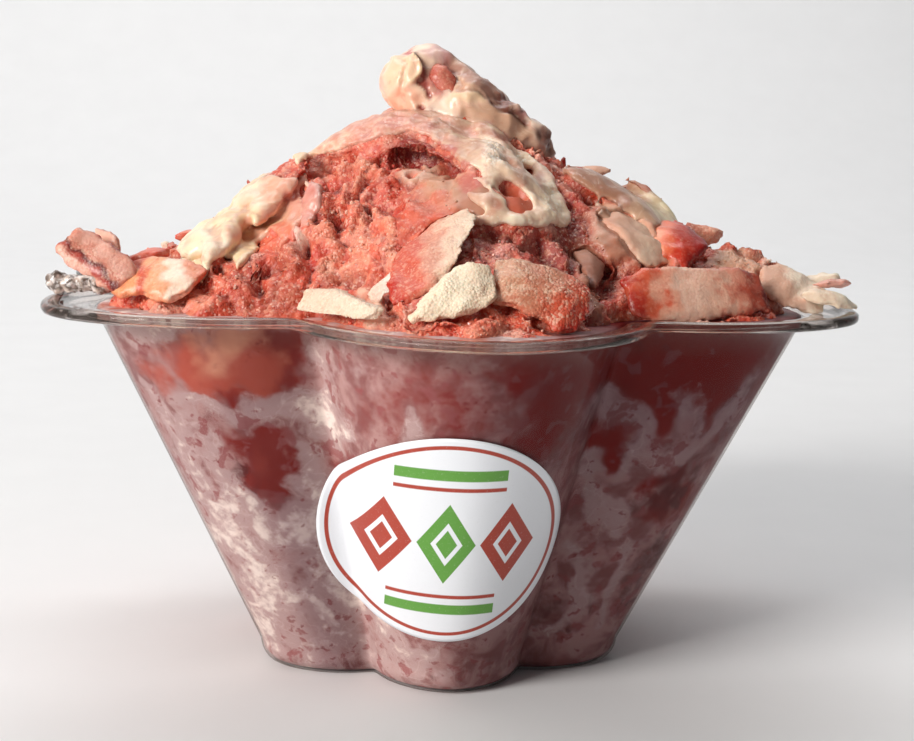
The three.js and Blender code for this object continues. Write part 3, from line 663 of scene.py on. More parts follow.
def make_bowl():
    """The clear bowl: one closed skin, up the outside, over the lip and down the inside."""
    around = WALL_AROUND
    level = BOWL_HEIGHT - FLANGE_STEP
    under = level - FLANGE_THICKNESS
    top = RIM_RADIUS - FLANGE_WIDTH
    outer = rounded_foot(0, 0, BASE_ROUND, 8, around)
    for z in np.linspace(BASE_ROUND, under, WALL_ROWS)[1:]:
        outer.append(petal_ring(wall_tip(z), z, around))
    # underside of the flange, turned-down lip, raised outer band with a rib, then the flat inner band
    lip = [
        (top + 1.2, under + 0.05), (top + 4.5, under + 0.15), (RIM_RADIUS - 3.4, under + 0.1),
        (RIM_RADIUS - 1.7, level - LIP_DROP + 0.12), (RIM_RADIUS - 0.9, level - LIP_DROP),
        (RIM_RADIUS - 0.25, level - LIP_DROP + 0.3), (RIM_RADIUS, level - 0.4),
        (RIM_RADIUS - 0.12, BOWL_HEIGHT - 0.35), (RIM_RADIUS - 0.6, BOWL_HEIGHT - 0.05),
        (RIM_RADIUS - 1.2, BOWL_HEIGHT), (RIM_RADIUS - 2.4, BOWL_HEIGHT),
        (RIM_RADIUS - 3.1, BOWL_HEIGHT - 0.08), (RIM_RADIUS - 3.7, level + 0.14), (RIM_RADIUS - 4.2, level),
        (top + 3.4, level), (top + 1.2, level - 0.03), (top + 0.3, level - 0.2),
        (top - WALL + 0.35, level - 0.65)]
    rings = outer + [petal_ring(tip, z, around) for tip, z in lip]
    for z in np.linspace(under, WALL + BASE_ROUND - 0.5, WALL_ROWS):
        rings.append(petal_ring(wall_tip(z) - WALL, z, around))
    rings += rounded_foot(WALL, WALL, BASE_ROUND - 0.5, 6, around)[::-1][1:]
    v, f = loft(rings, (0, 0, 0), (0, 0, WALL))
    rim = smooth(v[:, 2], BOWL_HEIGHT - 3.4, BOWL_HEIGHT - 2)
    bowl = make_object("bowl_clear", v, f, bowl_material(), None, {"rim": rim})
    hand_over(bowl, "bowl_plastic", "bowl")


# ---- The ice behind the wall ----

FILL_INSET = 0.55            # the ice ends inside the wall's thickness
FILL_TOP = 75.0
FILL_AROUND, FILL_ROWS = 560, 92

# Fields of the packed ice, as seen from outside: angle round the bowl in degrees, height,
# half width and half height in mm, tilt in degrees, and how strong the field is.
RED_FIELDS = [
    (-124.5, 67, 4, 8, 0, 1.1), (-135, 40, 3.6, 5, 0, 0.7), (-131.5, 50, 6.5, 6, 0, 1.2),
    (-132.5, 44, 4, 6, 0, 1.1), (-131, 61, 9, 2.4, 0, 1.0), (-50, 69, 14, 8, 0, 1.3),
    (-56, 50, 3.4, 3.8, 0, 1.2), (-50.5, 50, 1.2, 2, 0, 0.8), (-44, 44, 4, 5, 20, 0.9),
    (-72, 69, 10, 8, 0, 0.55), (-82, 72, 14, 5, 0, 0.6), (-45, 60, 7, 5, 0, 0.9), (-38, 36, 7, 6, 0, 0.6),
    (-96, 71, 12, 6, 0, 0.4), (-118, 42, 3, 5, 0, 0.4), (-30, 64, 7, 9, 0, 0.4), (-98, 62, 15, 11, 0, 0.5),
    (-78, 60, 9, 10, 0, 0.6), (-52, 60, 12, 9, 0, 0.9), (-42, 66, 10, 9, 0, 0.8), (-70, 45, 6, 14, 0, 0.3),
    (-104, 44, 6, 12, 0, 0.4), (35, 60, 12, 9, 0, 0.9), (88, 52, 13, 12, 20, 1.0),
    (140, 64, 12, 9, -20, 1.0), (175, 46, 9, 10, 0, 0.9), (62, 30, 8, 9, 0, 0.6), (118, 33, 9, 7, 0, 0.7),
    (-170, 62, 10, 8, 0, 0.8), (5, 48, 8, 10, 0, 0.7),
]
SALMON_FIELDS = [
    (-134.5, 66.5, 11, 7, -6, 1.2), (-128, 69, 7, 5, 0, 0.7), (-146, 63, 5, 5, 0, 0.7),
    (-132, 47, 5, 5, 0, 0.4), (100, 66, 12, 7, 0, 1.0), (20, 68, 9, 5, 0, 0.6), (-176, 70, 8, 4, 0, 0.6),
]
MILK_FIELDS = [
    (-119.5, 58, 5, 5.5, 0, 1.35), (-117, 63, 3, 8, 10, 0.7), (-143, 71.5, 7, 3, 0, 1.0),
    (-114.5, 56, 3.5, 4.5, 0, 1.2), (-145, 52, 4, 12, -30, 0.85), (-144, 36, 4, 10, -30, 0.9),
    (-126, 33, 9, 9, 15, 0.8), (-124, 22, 8, 7, 0, 0.75), (-140, 20, 6, 8, 0, 0.7),
    (-100, 6, 14, 5, 0, 0.7), (-133, 8, 9, 4, 0, 0.5), (-47, 33, 3, 9, -25, 0.6), (-56, 24, 5, 9, 10, 0.6),
    (-44, 25, 5, 7, 0, 0.5), (-62, 10, 7, 4, 0, 0.4), (20, 30, 7, 12, 20, 0.9), (50, 62, 6, 9, 0, 0.8),
    (75, 20, 12, 7, 0, 0.9), (105, 50, 5, 12, -25, 0.8), (125, 18, 10, 6, 0, 0.8),
    (155, 34, 6, 12, 15, 0.9), (-165, 28, 8, 10, 0, 0.9), (0, 66, 7, 8, 0, 0.7),
]
# Pockets that stand back from the wall; their darkness is painted shade.
POCKET_SHADE_FIELDS = [
    (-115, 37, 2.2, 9, 8, 0.9), (-139, 41, 2, 7, -35, 0.7), (-40, 40, 7, 9, 0, 0.8),
    (-55, 12, 9, 7, 0, 0.6), (-66, 60, 6, 8, 0, 0.6), (-35, 22, 8, 10, 0, 0.7), (-146, 60, 3, 3, 0, 0.6),
    (60, 45, 6, 8, 0, 0.7), (135, 48, 7, 7, 0, 0.7), (-98, 1.5, 9, 2, 0, 0.6), (170, 12, 9, 5, 0, 0.6),
    (15, 12, 9, 5, 0, 0.6),
]
# Streams of milk on the wall: bearing in degrees, height and half width in mm.
MILK_STREAMS = [
    [(-68, 58, 1.0), (-64, 61.5, 1.8), (-59, 60, 2.4), (-54.5, 55.5, 2.6), (-51.5, 51, 2.2), (-50, 45, 1.4)],
    [(-50, 47, 1.4), (-45, 48, 1.6), (-40, 50.5, 1.8), (-37.5, 56, 2.0), (-36, 62, 1.4)],
    [(-47, 62, 1.2), (-44.5, 56, 1.4), (-42, 50, 1.0)],
    [(-60, 50, 1.4), (-57, 42, 2.6), (-52, 37, 2.8), (-48, 31, 1.6)],
    [(-56, 30, 1.6), (-52, 24, 2.0), (-50, 16, 2.4), (-55, 10, 1.6)],
    [(-44, 30, 1.4), (-42, 22, 2.0), (-45, 12, 1.6)],
    [(-148.5, 63, 1.0), (-147.5, 57, 2.0), (-146, 48, 2.8), (-148, 38, 2.2)],
    [(-139.5, 52, 1.2), (-140, 44, 1.6), (-138, 36, 2.0), (-132, 30.5, 2.4)],
    [(-142, 59, 2.2), (-137, 57.5, 1.4), (-129, 57.6, 1.6), (-123, 57, 3.4), (-119.5, 62, 2.4),
     (-117, 70, 1.6)],
    [(-124, 50, 2.2), (-123.5, 42, 2.6), (-127, 33, 3.4), (-126, 24, 3.0)],
    [(-141, 28, 2.2), (-135, 20, 2.8), (-128, 13, 2.2)], [(-146, 24, 1.6), (-142, 14, 1.8)],
    [(-112, 14, 2.4), (-104, 8, 2.6), (-96, 9, 2.0)], [(-100, 60, 1.2), (-99.5, 54, 1.4)],
    [(20, 60, 2), (28, 48, 3), (24, 34, 2.4)], [(60, 66, 1.6), (70, 52, 2.6), (82, 44, 2), (90, 30, 2.6)],
    [(108, 60, 2), (118, 48, 2.8), (112, 34, 2), (122, 22, 2.4)],
    [(160, 64, 1.6), (168, 50, 2.6), (156, 36, 2.2)],
]


def streams(v):
    """How far each point lies in the streams of milk, from 0 to 1."""
    pushed = warped(warped(v, 8.0, 3.4, 141), 3.0, 1.3, 151)
    bearing = np.degrees(np.arctan2(pushed[:, 1], pushed[:, 0]))
    plan = np.stack([bearing, np.zeros(len(v)), pushed[:, 2]], 1)
    return smooth(stroke_depth(plan, MILK_STREAMS), -2.8, 2.0)


def field_sum(v, fields, salt):
    """Soft ovals on the wall, their edges pulled about by noise."""
    pushed = warped(warped(warped(v, 9.0, 5.0, salt), 4.0, 2.4, salt + 40), 1.8, 0.9, salt + 60)
    angle = np.arctan2(pushed[:, 1], pushed[:, 0])
    around = np.hypot(v[:, 0], v[:, 1])
    total = np.zeros(len(v))
    for centre, height, wide, tall, tilt, strength in fields:
        turn = (angle - math.radians(centre) + math.pi) % (2 * math.pi) - math.pi
        x, z = turn * around, pushed[:, 2] - height
        c, s = math.cos(math.radians(tilt)), math.sin(math.radians(tilt))
        x, z = x * c + z * s, z * c - x * s
        away = np.hypot(x / wide, z / tall)
        total = np.maximum(total, strength * (1 - smooth(away, 0.25, 1.45)))
    return total


def fill_form():
    """The packed ice as one closed form, just inside the wall's thickness and with a low domed top."""
    rings = rounded_foot(FILL_INSET, FILL_INSET, BASE_ROUND, 8, FILL_AROUND)
    for z in np.linspace(FILL_INSET + BASE_ROUND, FILL_TOP, FILL_ROWS)[1:]:
        rings.append(petal_ring(wall_tip(z) - FILL_INSET, z, FILL_AROUND))
    for share in (0.93, 0.6, 0.3):
        rings.insert(0, petal_ring((wall_tip(BASE_ROUND) - FILL_INSET - 4) * share, FILL_INSET, FILL_AROUND))
    for share, z in ((0.985, 75.4), (0.9, 75.6), (0.5, 78)):
        rings.append(petal_ring((wall_tip(FILL_TOP) - FILL_INSET) * share, z, FILL_AROUND))
    return loft(rings, (0, 0, FILL_INSET), (0, 0, 80))


def fill_zones(v):
    """At each point: the ice's milk and red juice, the painted shade of its pockets, and the tones over them.
    """
    z, bearing = v[:, 2], np.degrees(np.arctan2(v[:, 1], v[:, 0]))
    veins = warped(warped(v, 17.0, 9.0, 60), 6.0, 3.4, 90)
    stretched = veins * np.array([1.0, 1.0, 0.62])
    ridge = 1 - 2.6 * np.abs(noise(stretched, 9.5, 71))
    ridge2 = 1 - 2.8 * np.abs(noise(stretched, 5.0, 75))
    milk = np.maximum(0.62 * ridge, 0.45 * ridge2) + 0.24 * layered(veins, 12.0, 3, 81) - 0.08
    milk = np.maximum(milk, field_sum(v, MILK_FIELDS, 5) + 0.1 * layered(v, 3.0, 2, 87))
    red = field_sum(v, RED_FIELDS, 6) + 0.35 * smooth(layered(veins, 14.0, 2, 101), 0.25, 0.7)
    salmon = field_sum(v, SALMON_FIELDS, 7)
    pocket_shade = field_sum(v, POCKET_SHADE_FIELDS, 8) + 0.5 * smooth(layered(veins, 7.0, 3, 121), 0.35, 0.75)
    # painted shade darkens the right and takes milk away there; paler at the lower left, with streams of milk
    shaded = smooth(bearing, -104, -78) * (1 - smooth(bearing, 0, 60))
    pale = smooth(-bearing, 104, 122) * (1 - smooth(z, 26, 54))
    stream = streams(v)
    milk = milk - 0.75 * np.clip(np.maximum(red, salmon), 0, 1) + 0.3 * pale - 0.25 * shaded
    milk = milk + 0.3 * smooth(-bearing, 136, 146) * (1 - smooth(z, 30, 50))
    milk = np.maximum(milk, 0.85 * stream + 0.3 * pale - 0.1 * shaded)
    red = red * (1 - 0.75 * stream)
    # deep is the red juice made darker on the shaded side: painted shade over the juice's own red
    deep = np.clip(red, 0, 1) * shaded * smooth(z, 26, 58)
    deep = deep + 0.3 * shaded * smooth(z, 40, 66) * (1 - stream)
    peach = salmon * np.clip(smooth(z, 63, 72) + 0.8 * noise(v, 7.0, 137) - 0.1, 0, 1)
    shade = shaded * (0.72 + 0.28 * smooth(z, 38, 62)) + 0.08 * (1 - shaded) * smooth(z, 30, 48)
    # painted shade in the valley between the left petal and the front one
    valley = smooth(bearing, -139, -131) * (1 - smooth(bearing, -127, -119)) * (1 - 0.4 * smooth(z, 44, 60))
    shade = shade + 0.5 * valley
    # painted shade also makes the left of the wall a little darker, but for the middle of its height near the
    # front
    end = -122 - 8 * smooth(z, 34, 44) * (1 - smooth(z, 56, 62))
    left = (1 - smooth(bearing, end - 4, end + 4)) * smooth(bearing, -178, -160)
    shade = shade + 0.22 * left * (1 - smooth(z, 66, 72))
    # a creamy ring under the flange on the left, and coral ice on top
    ring = smooth(z, 72.8, 74.2) * (1 - smooth(bearing, -86, -58)) * smooth(bearing, -176, -160)
    cream = np.clip(0.7 + 0.9 * noise(v, 6.0, 139), 0, 1) * ring
    milk, peach = np.maximum(milk, cream), np.maximum(peach, 0.5 * ring)
    red, shade = red * (1 - 0.7 * ring), shade * (1 - 0.6 * ring)
    # where lit, the top turns coral and loses its painted shade; on the shaded side it keeps it
    above = smooth(z, 75.1, 75.4)
    lit = 1 - 0.8 * shaded
    salmon, deep = np.maximum(salmon, 0.9 * above * lit), deep * (1 - above * lit)
    shade = shade * (1 - 0.6 * above * lit)
    return milk, red, pocket_shade, {"salmon": np.clip(salmon, 0, 1), "deep": deep, "peach": peach, "shade": shade}


def make_fill():
    """The packed ice that shows through the wall."""
    v, f = fill_form()
    milk, red, pocket_shade, tones = fill_zones(v)
    # the pockets with painted shade stand back a little, still inside the wall
    hollow = smooth(pocket_shade + 0.4 * noise(v, 3.0, 131), 0.55, 0.95) * 0.3
    hollow = hollow * smooth(v[:, 2], 3, 8) * smooth(FILL_TOP + 0.3 - v[:, 2], 0, 2.5)
    outward = v * np.array([1.0, 1.0, 0.0])
    outward = outward / np.maximum(np.linalg.norm(outward, axis=1, keepdims=True), 1e-6)
    v = v - outward * hollow[:, None]
    fill = make_object("ice_packed", v, f, fill_material(), {"zones": np.stack([milk, red, pocket_shade], 1)}, tones)
    hand_over(fill, "shaved_ice", "shaved_ice")


# ---- Toppings ----

FRUIT = "strawberry"
FROZEN = "frozen_milk_ice"
CREAM = "cream"

X_WAY = (1, 0, 0)

# For each piece: slot, net size in mm, the way its colour runs, the colours from first to
# last, its rim colour and how strong it is, and its frost.
LOOKS = {
    "strawberry_slice_front": (FRUIT, 0.42, (1, -0.15, 0.1), [(190, 44, 28), (208, 90, 66), (218, 146, 120),
        (236, 198, 170), (242, 218, 192)], (214, 108, 82), 0.1, 0.45),
    "strawberry_slice_frosted": (FRUIT, 0.42, (0.8, -0.3, -0.7), [(206, 158, 130), (202, 146, 116),
        (200, 126, 96), (206, 84, 54), (188, 40, 22)], (196, 54, 32), 0.4, 0.8),
    "strawberry_slice_right": (FRUIT, 0.46, X_WAY, [(176, 40, 22), (208, 92, 62), (220, 152, 126),
        (222, 178, 156), (220, 170, 146), (210, 130, 106), (184, 78, 56), (112, 18, 12)], (150, 34, 24),
        0.2, 0.2),
    "strawberry_slice_red": (FRUIT, 0.42, (1, 0, -0.3), [(238, 148, 112), (228, 108, 72), (200, 54, 30),
        (164, 22, 8), (146, 14, 6)], (160, 26, 14), 0.3, 0.12),
    "strawberry_chip_right": (FRUIT, 0.42, X_WAY, [(196, 84, 64), (230, 152, 124), (236, 168, 142)],
        (200, 110, 88), 0.4, 0.6),
    "strawberry_bit_right": (FRUIT, 0.4, X_WAY, [(190, 84, 68), (224, 152, 128)], (170, 62, 50), 0.4, 0.3),
    "strawberry_chip_left": (FRUIT, 0.4, (0.61, 0, 0.79), [(226, 172, 154), (224, 166, 146), (170, 52, 36),
        (96, 12, 8), (206, 130, 108), (224, 166, 148), (222, 156, 136), (160, 50, 38)], (190, 84, 66), 0.25,
        0.35),
    "strawberry_chip_left_back": (FRUIT, 0.42, (0, 0, 1), [(206, 104, 84), (238, 178, 156),
        (240, 186, 164)], (150, 44, 36), 0.6, 0.3),
    "strawberry_slice_left": (FRUIT, 0.42, X_WAY, [(226, 110, 72), (236, 156, 108), (208, 92, 64),
        (238, 166, 124), (248, 220, 198), (230, 146, 112), (206, 86, 60)], (222, 120, 84), 0.3, 0.3),
    "strawberry_slice_left_upper": (FRUIT, 0.42, X_WAY, [(200, 76, 60), (226, 116, 92), (214, 84, 64)],
        (170, 44, 34), 0.35, 0.2),
    "strawberry_fold_head": (FRUIT, 0.4, (1, 0, 0.3), [(136, 30, 24), (186, 88, 70), (202, 114, 94),
        (192, 104, 84), (170, 78, 62)], (170, 76, 60), 0.2, 0.25),
    "strawberry_slice_back": (FRUIT, 0.46, (0, 1, 0), [(214, 72, 54), (240, 160, 132), (232, 120, 92),
        (190, 44, 32)], (180, 40, 28), 0.5, 0.3),
    "strawberry_slice_back_left": (FRUIT, 0.46, (-1, 1, 0), [(244, 196, 170), (236, 140, 112),
        (200, 56, 40)], (184, 44, 32), 0.5, 0.3),
    "pink_shred": (FRUIT, 0.38, X_WAY, [(206, 150, 134), (222, 166, 150)], (196, 130, 116), 0.2, 0.1),
    "frosted_slab_front": (FROZEN, 0.42, X_WAY, [(244, 216, 186), (244, 226, 198), (230, 202, 172)],
        (230, 188, 158), 0.3, 1),
    "frosted_slab_left": (FROZEN, 0.42, X_WAY, [(226, 196, 170), (230, 204, 180), (236, 210, 186)],
        (222, 180, 154), 0.3, 1),
    "frosted_wedge_front": (FROZEN, 0.4, X_WAY, [(236, 200, 180), (246, 226, 208)], (232, 184, 162), 0.3,
        1),
    "frosted_slab_back": (FROZEN, 0.46, X_WAY, [(240, 214, 184), (246, 226, 198)], (226, 180, 146), 0.4, 1),
    "iced_slice_right": (FROZEN, 0.42, (1, 0, -0.4), [(216, 158, 132), (218, 170, 144), (222, 188, 162),
        (218, 174, 148)], (214, 162, 136), 0.2, 0.08),
    "iced_chip_right": (FROZEN, 0.42, (0, 0, 1), [(128, 66, 50), (148, 94, 74), (168, 116, 94)],
        (140, 76, 60), 0.2, 0.1),
    "iced_slab_rim_right": (FROZEN, 0.44, X_WAY, [(210, 162, 138), (208, 162, 138), (242, 222, 200),
        (250, 238, 218)], (206, 158, 134), 0.15, 0.3),
    "iced_shaving_upper": (FROZEN, 0.4, X_WAY, [(196, 142, 118), (214, 166, 142)], (184, 130, 108), 0.3,
        0.2),
    "iced_slab_back_right": (FROZEN, 0.46, X_WAY, [(230, 186, 162), (234, 200, 174)], (210, 150, 124), 0.4,
        1),
    "cream_shred_upper": (CREAM, 0.38, X_WAY, [(232, 206, 180), (240, 222, 198)], (226, 196, 170), 0.2,
        0.4),
    "cream_shred_curl": (CREAM, 0.38, X_WAY, [(232, 206, 180), (240, 224, 200)], (220, 186, 160), 0.2, 0.4),
}


def colours_along(v, way, stops, wander):
    """Colours laid along one direction from end to end, their borders waved by noise."""
    way = np.array(way, float) / np.linalg.norm(way)
    along = v @ way
    t = (along - along.min()) / (along.max() - along.min())
    t = np.clip(t + wander * layered(v, 4.0, 3, 17), 0, 1) * (len(stops) - 1)
    palette = np.array([srgb(*stop) for stop in stops])
    low = np.minimum(t.astype(int), len(stops) - 2)
    share = smooth(t - low, 0.1, 0.9)
    return blend(palette[low], palette[low + 1], share)


def main_axes(v):
    """The piece's own axes, from its longest to its thinnest."""
    middle = v - v.mean(0)
    _, _, axes = np.linalg.svd(middle, full_matrices=False)
    return axes


def shape_flake(v, f, salt, is_frosty):
    """A cut piece: broken edges drawn out thin, faces gently waved, a skin of fine grains."""
    v = relax_full(v, f, 3)
    thin = main_axes(v)[2]
    side = smooth(1 - np.abs(normals(v, f) @ thin), 0.25, 0.9)
    border = np.clip(1.6 * spread(side, f, len(v), 14), 0, 1)
    middle = (v - v.mean(0)) @ thin
    half = np.abs(middle).max()
    v = v - thin * (0.55 * border * middle)[:, None]
    v = relax(v, f, 1)
    n = normals(v, f)
    wave = 0.36 * noise(v, 5.0, salt) + 0.12 * noise(v, 2.2, salt + 1)
    chips = 0.7 * noise(v, 2.4, salt + 2) + 0.35 * noise(v, 1.1, salt + 3)
    grain = (0.06 if is_frosty else 0.03) * noise(v, 0.85, salt + 4)
    return v + n * (wave + min(1, half / 2) * side * chips + grain)[:, None], side


# Straight cuts on the front: x and height of a place on the cut, and the way that it faces.
TRIMS = {
    "strawberry_slice_front": [(-1.4, 90.6, 0.82, -0.57)],
    "frosted_slab_front": [(-9.8, 81.4, -0.72, 0.69), (0.4, 80.3, 0.5, -0.87)],
    "frosted_slab_left": [
        (-24, 81.4, 0, 1.0), (-22, 80.9, 0.28, 0.96), (-31, 80.6, -0.6, 0.8), (-24, 77.7, 0, -1)],
}
# Small moves of a piece towards the place that the photograph shows, in mm.
SHIFTS = {
    "strawberry_fold_head": (0.6, 1.5, 0.5), "iced_slice_right": (0.4, 1.8, -0.5),
    "strawberry_chip_left": (1.8, 0, 0), "strawberry_slice_red": (-1.8, 0, 0.6),
    "frosted_wedge_front": (-0.6, 0.4, -1.7), "strawberry_chip_left_back": (0, 0, 2.0),
}
# Pieces larger than their solids, as factors along x, y and z.
GROWN = {"strawberry_slice_red": (1.28, 1.0, 1.2)}
# Pieces worn smoother than the others, with the number of passes.
WORN = {"strawberry_fold_head": 24, "iced_slice_right": 8, "iced_chip_right": 6}


def make_topping(node, salt, materials):
    """A fruit slice, frozen slab or shred, modelled from its solid."""
    slot, net, way, stops, rim, rim_strength, frost = LOOKS[node]
    v, f = remesh(*cad(node), net)
    if node in TRIMS:
        v, f = remesh(cut_front(v, TRIMS[node]), f, net)
    middle = v.mean(0)
    v = middle + (v - middle) * np.array(GROWN.get(node, (1, 1, 1))) + np.array(SHIFTS.get(node, (0, 0, 0)))
    v = relax_full(v, f, WORN.get(node, 0))
    v, side = shape_flake(v, f, salt, slot == FROZEN or frost > 0.4)
    tint = colours_along(v, way, stops, 0.16)
    tint = blend(tint, srgb(*rim), rim_strength * side)
    # painted shade in the piece's pits
    hollow = pits(v, f, 5)
    tint = tint * (1 - 0.35 * smooth(hollow, 0.03, 0.2))[:, None]
    dust = frost * np.clip(0.75 + 0.6 * noise(v, 3.0, salt + 9), 0, 1)
    piece = make_object(node + "_look", v, f, materials[slot], {"tint": tint}, {"frost": dust})
    hand_over(piece, slot, node)
    return v, f


# ---- The heap ----

HEAP_CUT = 73.0              # the heap's piece starts here, below the top of the packed ice
HEAP_NET = 0.62
HEAP_ROUGH = 0.85            # roughness where no paint says otherwise
HEAP_GRAINS = 3400
GRAIN_FLOOR, CRUMB_FLOOR, SHARD_FLOOR = 75.6, 75.5, 77.5    # nothing is scattered lower, in mm


def ball_form(subdivisions):
    """A ball of radius 1."""
    bm = bmesh.new()
    bmesh.ops.create_icosphere(bm, subdivisions=subdivisions, radius=1)
    v = np.array([vert.co for vert in bm.verts])
    f = np.array([[vert.index for vert in face.verts] for face in bm.faces])
    bm.free()
    return v, f


GRAIN_V, GRAIN_F = ball_form(1)
BALL_V, BALL_F = ball_form(3)


def grains(places, sizes, rng):
    """Many-sided grains at the given places, each stretched, dented and turned by its own draws."""
    count, corners = len(places), len(GRAIN_V)
    dents = 0.28 * rng.uniform(-1, 1, (count, corners, 1))
    form = np.broadcast_to(GRAIN_V, (count, corners, 3)) * (1 + dents)
    form = form * rng.uniform(0.6, 1.35, (count, 1, 3)) * sizes[:, None, None]
    q = rng.normal(size=(count, 4))
    q /= np.linalg.norm(q, axis=1, keepdims=True)
    w, x, y, z = q.T
    turn = np.stack([
        np.stack([1 - 2 * (y * y + z * z), 2 * (x * y - z * w), 2 * (x * z + y * w)], 1),
        np.stack([2 * (x * y + z * w), 1 - 2 * (x * x + z * z), 2 * (y * z - x * w)], 1),
        np.stack([2 * (x * z - y * w), 2 * (y * z + x * w), 1 - 2 * (x * x + y * y)], 1)], 1)
    form = np.einsum("nij,nkj->nki", turn, form) + places[:, None, :]
    faces = GRAIN_F[None] + (corners * np.arange(count))[:, None, None]
    return form.reshape(-1, 3), faces.reshape(-1, 3)


def scatter(v, f, count, rng, keep):
    """Places drawn evenly over faces, with their normals, where keep(points, normals) allows."""
    corners = v[f]
    n = np.cross(corners[:, 1] - corners[:, 0], corners[:, 2] - corners[:, 0])
    area = np.linalg.norm(n, axis=1)
    pick = rng.choice(len(f), count, p=area / area.sum())
    a, b = rng.uniform(size=count), rng.uniform(size=count)
    a, b = np.where(a + b > 1, 1 - a, a), np.where(a + b > 1, 1 - b, b)
    tri = corners[pick]
    points = tri[:, 0] + a[:, None] * (tri[:, 1] - tri[:, 0]) + b[:, None] * (tri[:, 2] - tri[:, 0])
    unit = n[pick] / np.maximum(area[pick], 1e-9)[:, None]
    allowed = keep(points, unit)
    return points[allowed], unit[allowed]


# Colours by name for the rows of paint, as a screen shows them.
# crest and gleam are painted highlights, crevice, gap and umber painted shade; deep and wine are dark reds,
# partly painted shade
TINTS = {
    "coral": (220, 102, 74), "blush": (230, 148, 120), "red": (196, 48, 34), "deep": (132, 22, 18),
    "wine": (150, 46, 36), "rose": (216, 164, 158), "milk": (248, 220, 200), "ivory": (252, 240, 214),
    "beige": (214, 172, 142), "taupe": (156, 108, 86), "peach": (238, 160, 128), "mauve": (190, 112, 104),
    "cream": (226, 192, 158), "orange": (200, 92, 60), "umber": (110, 56, 42), "heather": (176, 126, 108),
    "plum": (190, 104, 94), "white": (250, 222, 190), "glaze": (196, 148, 126), "pink": (222, 154, 136),
    "sand": (176, 124, 98), "lemon": (232, 208, 166), "shell": (242, 200, 172), "butter": (242, 208, 166),
    "oat": (206, 160, 130), "froth": (252, 224, 200), "ember": (180, 74, 48), "brick": (136, 44, 28),
    "base": (230, 98, 68), "crest": (244, 176, 146), "crevice": (160, 36, 24), "gap": (176, 46, 34),
    "gleam": (252, 238, 220),
}


def lay(under, name, share):
    """Lays a named tint over colours."""
    return blend(under, srgb(*TINTS[name]), share)
